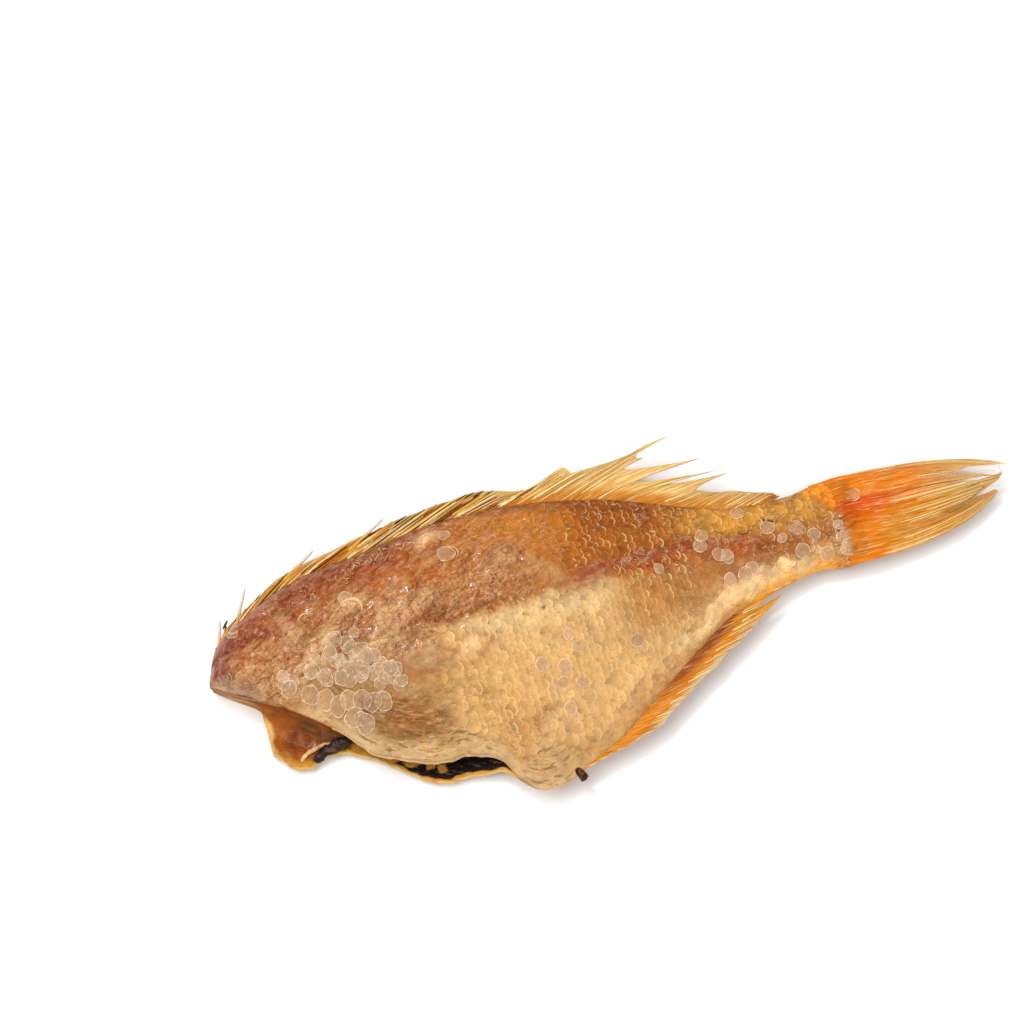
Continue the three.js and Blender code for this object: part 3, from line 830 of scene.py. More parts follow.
def start_material(name, **finish):
    """A new material: its tree, its Principled shader with the finish's plain values set on the
    shader's own sockets, the painted tone, and Object coordinates in millimetres."""
    material = bpy.data.materials.new(name)
    material.use_nodes = True
    tree = material.node_tree
    shader = tree.nodes["Principled BSDF"]
    for socket, value in finish.items():
        shader.inputs[socket.replace("_", " ")].default_value = value
    tone = put(tree, "Attribute", {}, attribute_name="tone").outputs["Color"]
    place = put(tree, "TexCoord", {}).outputs["Object"]
    return material, tree, shader, tone, vector(tree, "SCALE", {0: place, "Scale": 1 / TO_METRES})


def mark_of(tree, name, kind="Fac"):
    """What is stored at the points under a name."""
    return put(tree, "Attribute", {}, attribute_name=name).outputs[kind]


def mottled(tree, colour, place, tint, per_mm, contrast, amount):
    """A colour mottled and tinted by noise: the group's outputs."""
    return use(tree, MOTTLING, {"Color": colour, "Tint": plain(*tint), "Vector": place,
                                "Per Millimetre": per_mm, "Contrast": contrast, "Tint Amount": amount})


def fibres(tree, place, angle, per_mm, stretch):
    """The masks of fine fibres."""
    return use(tree, FIBRES, {"Vector": place, "Angle": angle, "Per Millimetre": per_mm, "Stretch": stretch})


def end_material(tree, shader, colour, height, roughness, bump, relief=None):
    """Joins the colour, the roughness, which runs between two values with the height, and the bump:
    the height, or another relief, in the range 0..1 and worth `bump` metres."""
    tree.links.new(colour, shader.inputs["Base Color"])
    tree.links.new(between(tree, height, 0.3, 0.7, *roughness), shader.inputs["Roughness"])
    made = put(tree, "Bump", {"Height": relief or height, "Distance": bump, "Strength": 1.0})
    tree.links.new(made.outputs[0], shader.inputs["Normal"])


def dried_skin():
    """Dried fish skin: painted tone mottled at three sizes, striated pebbled hide with dark lines and
    pale painted highlight lines over the muscles, streaky wrinkles on the belly, pale scale rims, red
    and dark flecks, and an oily gloss. The pebbles' grooves and the wrinkles' troughs are painted
    darker and the wrinkles' crests paler, partly as painted shade and highlight where the bump sinks
    and raises them."""
    material, tree, shader, tone, place = start_material(
        "dried_skin", Specular_IOR_Level=0.06, Subsurface_Weight=0.1, Subsurface_Scale=0.001,
        Subsurface_Radius=(1.0, 0.45, 0.2), Coat_Weight=0.3, Coat_Roughness=0.1)
    scaly, wrinkled, rough = (mark_of(tree, name) for name in ("scaly", "wrinkled", "rough"))
    flow = mark_of(tree, "flow", "Vector")
    broad = mottled(tree, tone, place, (186, 92, 48), 0.26, 0.6, 0.3)
    middle = mottled(tree, broad["Color"], place, (244, 202, 164), 0.7, 0.46, 0.15)
    fine = mottled(tree, middle["Color"], place, (116, 64, 32), 2.2, 0.3, 0.12)
    hide = use(tree, PEBBLES, {"Vector": place, "Per Millimetre": 0.42, "Groove Width": 0.14})
    muscle = fibres(tree, place, -0.45, 1.1, 5.0)
    wrinkle = fibres(tree, flow, 0.0, 1.1, 1.0)
    torn_line = use(tree, CREASES, {"Vector": place, "Per Millimetre": 0.2, "Width": 0.02})
    painted_glint_line = use(tree, CREASES, {"Vector": place, "Per Millimetre": 0.33, "Width": 0.014})
    pockets = use(tree, SCALE_POCKETS, {"Vector": place, "Pitch": 2.3})
    colour = fine["Color"]
    for mask, share, amount, laid in (
            (torn_line["Mask"], rough, 0.65, (126, 58, 28)),
            # Painted highlight: thin pale glint lines.
            (painted_glint_line["Mask"], rough, 0.4, (250, 220, 180)),
            # Grooves darker: partly painted shade where the bump sinks them.
            (hide["Groove"], rough, 0.16, (140, 70, 36)),
            (muscle["Dark"], rough, 0.34, (126, 64, 32)),
            (muscle["Pale"], rough, 0.26, (248, 206, 160)),
            # Wrinkles: troughs darker and crests paler, partly painted shade and highlight where the bump
            # sinks and raises them.
            (wrinkle["Dark"], wrinkled, 0.6, (116, 84, 50)),
            (wrinkle["Pale"], wrinkled, 0.34, (244, 218, 168)),
            (pockets["Rim"], scaly, 0.35, (250, 226, 176))):
        colour = blended(tree, product(tree, mask, share, amount), colour, plain(*laid))
    for spot, per_mm, size, share in (((216, 100, 50), 0.15, 0.16, 0.24), ((66, 34, 22), 0.23, 0.06, 0.08)):
        colour = use(tree, FLECKS, {"Color": colour, "Fleck": plain(*spot), "Vector": place,
                                    "Per Millimetre": per_mm, "Size": size, "Share": share})["Color"]
    wet = product(tree, between(tree, broad["Height"], 0.46, 0.6, 0.0, 0.5), rough)
    tree.links.new(number(tree, "ADD", wet, 0.25), shader.inputs["Coat Weight"])
    relief = number(tree, "ADD", product(tree, middle["Height"], 0.6), product(tree, fine["Height"], 0.36))
    relief = number(tree, "SUBTRACT", relief, product(tree, hide["Groove"], rough, 0.3))
    folded = product(tree, number(tree, "SUBTRACT", wrinkle["Pale"], wrinkle["Dark"]), wrinkled, 0.3)
    relief = number(tree, "ADD", relief, folded)
    relief = number(tree, "ADD", relief, product(tree, pockets["Height"], scaly, 0.25))
    end_material(tree, shader, colour, middle["Height"], (0.32, 0.6), 0.0007, relief)
    return material


def gut_lining():
    """The belly's dried lining: painted tone, streaks along the flap and a wet-looking gloss."""
    material, tree, shader, tone, place = start_material(
        "gut_lining", Specular_IOR_Level=0.12, Coat_Weight=0.14, Coat_Roughness=0.1)
    made = mottled(tree, tone, place, (116, 78, 52), 0.9, 0.8, 0.15)
    streaks = fibres(tree, place, 0.5, 0.9, 5.0)
    lit = blended(tree, product(tree, streaks["Pale"], 0.22), made["Color"], plain(200, 160, 120))
    end_material(tree, shader, lit, made["Height"], (0.25, 0.5), 0.0007)
    return material


def cut_flesh():
    """Dried flesh at the head's cut: strongly mottled, satin."""
    material, tree, shader, tone, place = start_material("cut_flesh", Specular_IOR_Level=0.2)
    made = mottled(tree, tone, place, (96, 44, 20), 1.1, 0.9, 0.4)
    end_material(tree, shader, made["Color"], made["Height"], (0.4, 0.65), 0.0008)
    return material


def fin_membrane():
    """Dry fin skin between the rays: painted tone, streaked along the rays, thin enough for the
    table to show through it a little."""
    material, tree, shader, tone, _ = start_material(
        "fin_membrane", Specular_IOR_Level=0.12, Subsurface_Weight=0.2, Subsurface_Scale=0.001,
        Subsurface_Radius=(1.0, 0.6, 0.2))
    flow = mark_of(tree, "flow", "Vector")
    streaks = mottled(tree, tone, flow, (190, 104, 24), 1.0, 0.6, 0.25)
    lines = fibres(tree, flow, 0.0, 1.6, 2.0)
    lit = blended(tree, product(tree, lines["Pale"], 0.5), streaks["Color"], plain(255, 236, 184))
    lined = blended(tree, product(tree, lines["Dark"], 0.5), lit, plain(176, 104, 34))
    tree.links.new(mark_of(tree, "cover"), shader.inputs["Alpha"])
    end_material(tree, shader, lined, streaks["Height"], (0.35, 0.6), 0.0004)
    return material


def fin_ray():
    """Bony fin rays and spines: painted tone, lightly mottled, and a soft gloss."""
    material, tree, shader, tone, place = start_material(
        "fin_ray", Specular_IOR_Level=0.18, Subsurface_Weight=0.15, Subsurface_Scale=0.0008,
        Subsurface_Radius=(1.0, 0.7, 0.35))
    made = mottled(tree, tone, place, (200, 130, 50), 0.8, 0.5, 0.2)
    end_material(tree, shader, made["Color"], made["Height"], (0.3, 0.5), 0.0003)
    return material


def set_scale():
    """Scales still in the skin: the skin's tone and a thin pale rim, partly the scale's own edge and partly a
    painted highlight.
    """
    material, tree, shader, tone, place = start_material(
        "set_scale", Specular_IOR_Level=0.06, Coat_Weight=0.28, Coat_Roughness=0.1)
    made = mottled(tree, tone, place, (180, 118, 70), 0.7, 0.55, 0.28)
    rim = between(tree, mark_of(tree, "rim"), 0.6, 1.0, 0.0, 0.66)
    # The pale rim: partly the scale's own edge, partly a painted highlight.
    rimmed = blended(tree, rim, made["Color"], plain(250, 216, 160))
    end_material(tree, shader, rimmed, made["Height"], (0.3, 0.5), 0.0003)
    return material


def loose_scale():
    """Scales that have come loose: clear discs with bright thin rims, partly their own pale edge and partly a
    painted highlight.
    """
    material, tree, shader, tone, place = start_material(
        "loose_scale", Specular_IOR_Level=0.5, Coat_Weight=0.6, Coat_Roughness=0.08)
    rim = mark_of(tree, "rim")
    made = mottled(tree, tone, place, (255, 246, 224), 0.7, 0.4, 0.3)
    # The bright rim: partly the scale's own pale edge, partly a painted highlight.
    rimmed = blended(tree, between(tree, rim, 0.86, 1.0, 0.0, 0.8), made["Color"], plain(255, 240, 216))
    torn_rim = between(tree, made["Height"], 0.42, 0.58, 0.02, 0.55)
    ragged = product(tree, between(tree, rim, 0.82, 1.0), torn_rim)
    tree.links.new(number(tree, "ADD", ragged, 0.24), shader.inputs["Alpha"])
    end_material(tree, shader, rimmed, made["Height"], (0.2, 0.38), 0.0003)
    return material


# ---- The trunk.
SLIT_STATIONS = 215  # sections from the neck to the slit's end
REAR_STATIONS = 226  # and from there to the tail fin's root
STATIONS = np.concatenate([np.linspace(0, SLIT_END, SLIT_STATIONS),
                           np.linspace(SLIT_END, TRUNK_LENGTH, REAR_STATIONS)[1:]])[:, None]
SKIN_COLUMNS = {1: 150, -1: 30}  # steps round each section, by side: the shown one is finer
LINING_COLUMNS = {1: 15, -1: 48}  # of the two linings the lower flap's is the one in view
LIP_COLUMNS = 6  # steps round a flap's edge
NECK_ROWS = 6  # steps across the cut flesh
LINING_CROWDING = 1.6  # power that draws the lower lining's columns towards the lip
SKIN, LINING, CUT = range(3)


def skin_marks(points, side):
    """What the skin's material reads at the points: tone, where scales sit, where wrinkles run and
    where the hide is rough, and coordinates drawn out along the belly's edge."""
    x, y = points[..., 0], points[..., 1]
    scaly = scale_cover(x, y) if side > 0 else 0.8 * fade(y - lower_lip(x), 6, 16) * fade(x, 30, 60)
    # Painted shade: the skin under the scales is darkened, to show in the gaps between them.
    tone = paint(skin_tone(points, side), (BELLY_BROWN, 0.5 * scaly * (side > 0)))
    smooth = fade(x, 62, 80) * fade(x, 116, 104) * fade(y - band_line(x), 0, 4)
    banded = fade(y - band_line(x), 0, 4) * fade(x, 80, 66)
    hide = 0.2 + 0.8 * np.clip((roughness_of(x, y) - LEAST_ROUGH) / (1 - LEAST_ROUGH), 0, 1)
    rough = hide * (1 - 0.7 * scaly) * (1 - 0.35 * smooth) * (1 - 0.4 * banded) * (1 - belly_skin(x, y))
    flow = flat(x * 0.2, (y - upper_lip(x)) * 0.9, points[..., 2] * 0.5)
    return {"tone": tone, "scaly": scaly, "wrinkled": belly_skin(x, y), "rough": rough, "flow": flow}


def plain_marks(points, tone):
    """The same marks where there are no scales, wrinkles or hide."""
    none = np.zeros(points.shape[:-1])
    return {"tone": tone, "scaly": none, "wrinkled": none, "rough": none, "flow": points}


def neck_face(side, turns):
    """The head's cut on one side: rows from the skin's first section across to the lining's. The
    coarser of the two sections is reached at its own points, so that the borders close."""
    across = np.linspace(0, 1, NECK_ROWS + 1)[:, None]
    skin_turns = np.linspace(0, 1, SKIN_COLUMNS[side] + 1)
    lining_turns = np.linspace(0, 1, LINING_COLUMNS[side] + 1)

    def snapped(own):
        """The nearest of a section's own points to each turn."""
        return own[np.round(turns * (len(own) - 1)).astype(int)]

    outer = skin_points(STATIONS[:1], snapped(skin_turns), side)
    inner = lining_points(STATIONS[:1], lining_spread(snapped(lining_turns), side), side)
    face = mix(outer, inner, across[..., None])
    face[1:-1, 1:, 0] = neck_cut(face[1:-1, 1:, 1], side) + 0.35 * grain(face[1:-1, 1:], 2.5, 73)
    face[:, 0] = lip_points(STATIONS[:1], across.T, side)[0]
    return face


def lining_spread(turns, side):
    """Puts the lower lining's columns closer together towards the lip, where it is seen."""
    return turns ** LINING_CROWDING if side < 0 else turns


def make_trunk():
    """The whole body: shown and hidden skin along all stations, lips and lining as far as the slit,
    the head's cut and the end under the tail fin, joined at their borders."""
    body = Patches()
    slit, last, half_way = STATIONS[:SLIT_STATIONS], STATIONS[-1:], np.full((1, 1), 0.5)
    middle = (skin_points(last, half_way, 1) + skin_points(last, half_way, -1))[0] / 2
    for side, columns in SKIN_COLUMNS.items():
        turns = np.linspace(0, 1, columns + 1)[None, :]
        skin = skin_points(STATIONS, turns, side)
        body.add(skin, SKIN, inward=side < 0, **skin_marks(skin, side))
        lining_turns = np.linspace(0, 1, LINING_COLUMNS[side] + 1)[None, :]
        lining = lining_points(slit, lining_spread(lining_turns, side), side)
        body.add(lining, LINING, inward=side > 0, **plain_marks(lining, lining_tone(lining, side)))
        lip = lip_points(slit, np.linspace(0, 1, LIP_COLUMNS + 1)[None, :], side)
        rim = LIP_PALE if side > 0 else RIM_CREAM
        rim_tone = paint(skin_tone(lip, side), (rim, np.full(lip.shape[:-1], 0.8)))
        body.add(lip, SKIN, inward=side > 0, **plain_marks(lip, rim_tone))
        face = neck_face(side, np.linspace(0, 1, max(columns, LINING_COLUMNS[side]) + 1))
        body.add(face, CUT, inward=side > 0, **plain_marks(face, flesh_tone(face)))
        ring = skin[-1]
        cap = np.stack([ring, np.broadcast_to(middle, ring.shape)])
        body.add(cap, SKIN, inward=side < 0, **plain_marks(cap, skin_tone(cap, side)))
    piece = body.make("trunk", [dried_skin(), gut_lining(), cut_flesh()], "skin")
    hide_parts("dried_fish")
    return piece


ROLL_FLATNESS = 0.7  # the rolls' height as a share of their width


def make_lining_roll():
    """Two rolls of dried lining on the lower flap: a thick plum one and, beside it, a thin pale fold
    of membrane."""
    rolls = Patches()
    k = np.linspace(0, 1, 40)
    for line, heights, radius, colour in (
            (ROLL_LINE, [(24, 3.2), (31, 4.4), (39, 5.8)], 1.8, ROLL_PLUM),
            (FOLD_LINE, [(19, 2.9), (31, 4.8)], 0.7, MEMBRANE_CREAM)):
        x = mix(line[0][0], line[-1][0], k)
        path = flat(x, through(*line)(x), through(*heights)(x))[None]
        thick = radius * (4 * k * (1 - k))[None] ** 0.4 * (1 + 0.35 * grain(path, 2.2, 94))
        ring = rods(path, thick, 14)
        ring[:, 1:-1] += 0.4 * radius * grain(ring[:, 1:-1], 1.4, 93)[..., None] * (0.3, 1, 0.8)
        ring[..., 2] = mix(path[..., 2][..., None], ring[..., 2], ROLL_FLATNESS)
        tone = np.broadcast_to(colour, ring.shape) * (1 + 0.35 * grain(ring, 1.2, 92))[..., None]
        rolls.add(ring, wrap=True, tone=tone)
    return rolls.make("lining_roll", [gut_lining()], "lining")


# ---- Scales.
PLATE_LIFT = 0.06  # how far a plate's rim stands off the hide


def plates(centres, length, width, turn, lift, tilt, dome, uneven, rooted=0.0, around=10,
           radii=(0, 0.6, 0.86, 1.0)):
    """Thin domed discs lying on the shown flank. Each is a closed shell: its top rises from the rim
    by a dome, and its floor is a cone under it whose tip stands `rooted` deep in the hide. A plate is
    turned about its middle, raised at its tail end by `lift` and leaned sideways by `tilt`; `uneven`
    waves its outline."""
    radii = np.array([*radii, 0.0])[:, None]
    angle = np.linspace(0, 2 * np.pi, around, endpoint=False)[None, :]
    phase = np.arange(len(centres))[:, None, None]
    outline = 1 + uneven * (np.cos(3 * angle + phase) + 0.7 * np.cos(5 * angle + 2.1 * phase))
    u, v = radii * np.cos(angle) * outline, radii * np.sin(angle) * outline
    on_top = np.ones(len(radii))[:, None]
    on_top[-1] = 0
    top = (1 - radii ** 2) * on_top * np.ones_like(angle)
    length, width, turn, lift, tilt, dome = (
        values[:, None, None] for values in (length, width, turn, lift, tilt, dome))
    along, across = u * length, v * width
    x = centres[:, 0, None, None] + along * np.cos(turn) - across * np.sin(turn)
    y = centres[:, 1, None, None] + along * np.sin(turn) + across * np.cos(turn)
    z = skin_height(x, y, 1) + PLATE_LIFT + lift * (1 + u) / 2 + tilt * v + dome * top - rooted * (1 - on_top)
    return flat(x, y, z), np.broadcast_to(radii, x.shape)


SCALE_PITCH = 1.75  # between scales along the body
ROW_PITCH = 2.4  # between scale rows, measured across the body
SCALED_X, SCALED_Y = (28, 208), (-58, 36)  # the lattice of scales reaches this far
SCALE_RADIUS = 1.9
SCALE_ROOT = 0.5  # how deep a set scale's foot stands in the hide
MISSING_SCALES = 0.05  # the share that has fallen out anywhere
LOOSE_RADIUS = 2.15


def make_flank_scales():
    """Scales in rows: a lattice whose every other column is set off by half a row, thinned out
    where the cover is patchy; each scale is raised at its tail end over the next. Each is painted
    darker towards its front and sides as shade where it goes under its neighbours, and its pale rear
    rim is partly its own edge and partly a painted highlight."""
    chance = np.random.default_rng(5)
    columns, rows = np.meshgrid(np.arange(*SCALED_X, SCALE_PITCH), np.arange(*SCALED_Y, ROW_PITCH),
                                indexing="ij")
    rows = rows + ROW_PITCH / 2 * (np.arange(len(rows)) % 2)[:, None]
    centres = np.stack([columns.ravel(), rows.ravel()], -1)
    at = flat(centres[:, 0], centres[:, 1])
    centres += 0.9 * np.stack([grain(at, 11, 83), grain(at, 11, 84)], -1)
    centres += chance.normal(0, 0.1, centres.shape)
    x, y = centres.T
    inside = (y > upper_lip(x) + 2.5) & (y < back(x) - 2)
    held = chance.uniform(0.1, 0.75, len(x)) < scale_cover(x, y)
    left = chance.uniform(0, 1, len(x)) > MISSING_SCALES
    centres = centres[inside & held & left]
    count = len(centres)
    x, y = centres.T
    wild = np.maximum(fade(x, 140, 170), 0.55 * fade(y - septum_line(x), 0, 4))
    size = chance.normal(SCALE_RADIUS, 0.12, count) + 0.35 * fade(y, -18, -34)
    points, rim = plates(
        centres, length=size, width=size * chance.normal(0.92, 0.04, count),
        turn=0.1 + chance.normal(0, 1, count) * (0.1 + 0.4 * wild),
        lift=chance.uniform(0.1, 0.22, count) + 0.3 * wild * chance.uniform(0, 1, count) ** 2,
        tilt=chance.normal(0, 1, count) * (0.04 + 0.12 * wild),
        dome=chance.uniform(0.01, 0.05, count), uneven=0.02, rooted=SCALE_ROOT)
    behind = (points[..., 0] - centres[:, 0, None, None]) / size[:, None, None]
    beside = (points[..., 1] - centres[:, 1, None, None]) / size[:, None, None]
    # A pale rear rim of random strength: partly the scale's own edge, partly a painted highlight.
    bright = chance.uniform(0, 1, (count, 1, 1)) ** 2
    rim = rim * fade(behind, -0.2, 0.4) * (0.76 + 0.24 * bright)
    # Painted shade: each scale darker towards its front, where it goes under the one ahead, and towards its
    # sides.
    painted_shade = 0.24 * fade(behind, 0.3, -0.3) + 0.12 * fade(np.abs(beside), 0.5, 0.95)
    tone = skin_tone(points, 1) * (1 - painted_shade)[..., None] * chance.normal(1.05, 0.06, (count, 1, 1, 1))
    scales = Patches()
    scales.add(points, wrap=True, tone=tone, rim=rim)
    return scales.make("flank_scales", [set_scale()], "scale")


def strewn(chance, heaps):
    """Random places round the middles of heaps, each given as x, y, spread along, spread across and
    how many: a normal spread."""
    return np.concatenate([chance.normal((x, y), (along, across), (count, 2))
                           for x, y, along, across, count in heaps])


# Heaps of loose scales on the shown flank: x, y, spread along, spread across, how many.
SCALE_HEAPS = [
    (47.5, -6.5, 4.4, 3.8, 32), (55, -12, 2.6, 2.6, 10), (43, -24, 1.6, 1.2, 3), (36, -9, 4, 2, 7),
    (24, -6, 2, 1.4, 3), (160, 3, 4, 2, 4), (190, -1, 6, 4, 6), (203, -5, 2, 4, 4), (146, 1, 3, 1.4, 1),
    (104, -24, 8, 6, 5), (118, -30, 10, 5, 3), (174, -8, 4, 2, 3)]
# Single large ones that stand out: x, y, radius.
SINGLE_SCALES = [
    (11.2, 15.1, 1.9), (211.3, 8.8, 2.6), (204.1, -8.5, 2.4), (82.2, 27.6, 2.0), (81, 20.3, 2.9),
    (47.3, 14.6, 2.3), (158.6, 3.6, 2.2), (173.7, 12, 2.3), (164.7, -8.8, 2.2), (23.7, -7.5, 2.6),
    (29.5, -10.6, 2.8), (33.4, -13, 3), (36.8, -15.9, 3.1), (40.3, -15.4, 2.8), (44.3, -16.8, 3),
    (47.2, -18.3, 3), (50.4, -19, 2.9), (40.6, -20.6, 3.1), (43.4, -23.4, 3)]
SCALE_CLEAR = dye(234, 190, 142)


def make_loose_scales():
    """Loose scales strewn in heaps: places drawn from a normal spread round each heap's middle, each
    scale turned, tilted and domed at random, and higher where it lies on others."""
    chance = np.random.default_rng(9)
    centres = strewn(chance, SCALE_HEAPS)
    radius = chance.normal(LOOSE_RADIUS, 0.25, len(centres))
    single = np.array(SINGLE_SCALES)
    centres = np.concatenate([centres, single[:, :2]])
    radius = np.concatenate([radius, single[:, 2]])
    x, y = centres.T
    kept = (y > upper_lip(x) + 1.8) & (y < back(x) - 1.8) & (x > neck_cut(y, 1) + 2.8) & (x < 222)
    centres, radius = centres[kept], radius[kept]
    count = len(centres)
    points, rim = plates(
        centres, length=radius, width=radius * chance.normal(0.94, 0.04, count),
        turn=chance.uniform(0, 2 * np.pi, count), lift=chance.uniform(0.1, 0.7, count),
        tilt=chance.normal(0, 0.2, count), dome=chance.uniform(0.15, 0.5, count), uneven=0.04,
        around=22, radii=(0, 0.6, 0.86, 0.95, 1))
    points[..., 2] += chance.uniform(0.1, 0.6, (count, 1, 1))
    tone = np.broadcast_to(SCALE_CLEAR, points.shape) * chance.normal(0.96, 0.1, (count, 1, 1, 1))
    scales = Patches()
    scales.add(points, wrap=True, tone=tone, rim=rim)
    return scales.make("loose_scales", [loose_scale()], "scale")


# Where torn scale edges and skin shreds stand up and catch the light; their pale cream is a
# painted highlight: x, y, spread along, spread across, how many.
SHRED_PLACES = [
    (49, 23.3, 3, 1, 8), (55, 26, 4, 1, 14), (63, 27.4, 4, 0.9, 14), (69, 28.6, 3, 0.9, 10),
    (40, 21, 3, 1.4, 5), (34, 19, 4, 1.4, 5), (82, 28, 5, 2, 4), (100, 27, 14, 3, 8), (125, 22, 10, 5, 10),
    (142, 22.5, 8, 2, 10), (137, 4.4, 3, 1, 14), (146, 0.6, 3, 1.2, 10), (162, 5, 4, 2, 12),
    (188, 7.5, 6, 2.4, 34), (181, 9.5, 3, 1.4, 10), (203, -5, 2, 4, 24), (110, 8, 14, 4, 6),
    (196, -3, 6, 4, 18), (176, 0, 8, 3, 14), (152, -9, 5, 4, 10), (150, 12, 8, 4, 10), (30, -4, 8, 4, 8),
    (60, 0, 10, 4, 8)]
SHRED_STEPS = 8
SHRED_RADII = (0.07, 0.12)
# Painted highlight: the shreds' pale cream stands for their glints.
SHRED_GLINT_CREAM = dye(240, 208, 154)
CURL_TAN = dye(232, 192, 146)
# Rims of torn skin that have curled up: middle x, y, radius, start and end angle in degrees, thickness.
CURLS = [(48.4, 10.6, 3.3, 160, -40, 0.5), (12, 16.4, 1.6, 20, 330, 0.24), (10.4, 0.4, 1.1, 40, 250, 0.16),
         (34, 11.6, 2, 190, 40, 0.3), (77, 27, 2.6, 200, 30, 0.32), (82, 20.4, 2.8, 130, -60, 0.2)]


def make_shreds():
    """Tiny curled shreds: thin rods bent into arcs of random reach, standing a little off the skin,
    painted pale cream as a highlight; and the thicker curled rims of torn skin."""
    chance = np.random.default_rng(23)
    centres = strewn(chance, SHRED_PLACES)
    x, y = centres.T
    centres = centres[(y > upper_lip(x) + 1.5) & (y < back(x) - 1) & (x > neck_cut(y, 1) + 3)]
    count = len(centres)
    bend = chance.uniform(0.5, 1.3, (count, 1))
    k = np.linspace(0, 1, SHRED_STEPS)
    turn = chance.uniform(0, 2 * np.pi, (count, 1)) + chance.uniform(0.9, 2.6, (count, 1)) * k
    x, y = centres[:, :1] + bend * np.cos(turn), centres[:, 1:] + bend * np.sin(turn)
    z = skin_height(x, y, 1) + 0.1 + chance.uniform(0.1, 0.7, (count, 1)) * np.sin(np.pi * k)
    points = rods(flat(x, y, z), chance.uniform(*SHRED_RADII, (count, 1)) * np.ones(SHRED_STEPS), 4)
    # The shreds painted pale cream as a painted highlight.
    tone = np.broadcast_to(SHRED_GLINT_CREAM, points.shape) * chance.normal(0.95, 0.08, (count, 1, 1, 1))
    shreds = Patches()
    shreds.add(points, wrap=True, tone=np.minimum(tone, 1))
    x, y, radius, start, end, thick = (column[:, None] for column in np.array(CURLS, float).T)
    k = np.linspace(0, 1, 24)[None, :]
    turn = np.radians(mix(start, end, k))
    x, y = x + radius * np.cos(turn), y + 0.9 * radius * np.sin(turn)
    path = flat(x, y, skin_height(x, y, 1) + 0.5 * thick)
    curls = rods(path, thick * (4 * k * (1 - k)) ** 0.5 * (1 + 0.3 * grain(path, 1.6, 97)), 8)
    shreds.add(curls, wrap=True, tone=np.broadcast_to(CURL_TAN, curls.shape))
    return shreds.make("skin_shreds", [fin_ray()], "scale")


# ---- Fins.
def rods(paths, radius, sides=5):
    """Tapered rods along a stack of centre lines: a ring of points square to the line at each step.
    The first and the last ring close to a point."""
    way = np.gradient(paths, axis=1)
    way /= np.linalg.norm(way, axis=-1, keepdims=True) + 1e-9
    beside = np.cross(way, (0, 0, 1.0))
    beside /= np.linalg.norm(beside, axis=-1, keepdims=True) + 1e-9
    over = np.cross(beside, way)
    angle = np.linspace(0, 2 * np.pi, sides, endpoint=False)
    radius = np.broadcast_to(radius, paths.shape[:2]).copy()
    radius[:, 0] = radius[:, -1] = 0
    ring = beside[..., None, :] * np.cos(angle)[:, None] + over[..., None, :] * np.sin(angle)[:, None]
    return paths[..., None, :] + radius[..., None, None] * ring


CREAM_RAY = dye(252, 232, 176)
STRAW = dye(240, 208, 136)
GOLD = dye(228, 170, 82)
DEEP_GOLD = dye(212, 136, 50)
RAY_BROWN = dye(156, 98, 40)
FIN_ROOT_BROWN = dye(150, 78, 22)
DARK_RAY = dye(122, 84, 42)
FIN_ORANGE = dye(232, 150, 50)
YELLOW_TAN = dye(232, 180, 90)
OLIVE_YELLOW = dye(212, 172, 74)
TAIL_RED = dye(226, 96, 18)
PALE_WEB = dye(250, 224, 176)
SPINE_PALE = dye(222, 210, 196)
BLACK_SKIN = dye(72, 62, 50)


def flames(u, knots):
    """The torn outline of a fin, as the end of each ray. Knots are (root, x, y, sharp): sharp is 1 at
    a lobe's tip and 0 in a bay or along a plain edge. From a bay to a tip x grows with the square of
    the way, so that lobes end in points and bays are round."""
    root, x, y, sharp = np.array(knots, float).T
    i = np.clip(np.searchsorted(root, u, side="right") - 1, 0, len(root) - 2)
    s = np.clip((u - root[i]) / (root[i + 1] - root[i]), 0, 1)
    a, b = sharp[i], sharp[i + 1]
    share = np.where(b > a, s ** 2, np.where(a > b, 1 - (1 - s) ** 2, s))
    return mix(x[i], x[i + 1], share), mix(y[i], y[i + 1], s)


RAY_TURN = 0.7  # the share of a ray's way at which it turns


def on_ray(u, v, root, knots, bow):
    """A point's x and y on ray u, a share v of the way from its root to its end. The ray is a
    quadratic curve whose middle is pushed across by `bow`."""
    x0, y0 = root(u)
    x1, y1 = flames(u, knots)
    bx, by = mix(x0, x1, RAY_TURN), mix(y0, y1, RAY_TURN) + bow(u)
    keep, turn, reach = (1 - v) ** 2, 2 * v * (1 - v), v * v
    return keep * x0 + turn * bx + reach * x1, keep * y0 + turn * by + reach * y1


def branching(u, v, pitch):
    """Waves across the rays, 1 on a ray and 0 between two: each ray parts into two and again into
    two on its way out."""
    waves = [0.5 + 0.5 * np.cos(2 * np.pi * u * many / pitch) for many in (1, 2, 4)]
    return mix(mix(waves[0], waves[1], fade(v, 0.22, 0.4)), waves[2], fade(v, 0.55, 0.75))


WEB_BORDER = 0.6  # a web thins towards its first and last ray over this much of its roots' line
WEB_LEAST = 0.25  # thickness between two rays as a share of that on a ray
STRAND_LIFT = 0.15  # how far a strand stands off the web
STRAND_TAPER = 0.6  # the share of its thickness that a strand loses on its way out
ALONG = np.linspace(0, 1, 14)[None, :]  # shares of the way along a strand


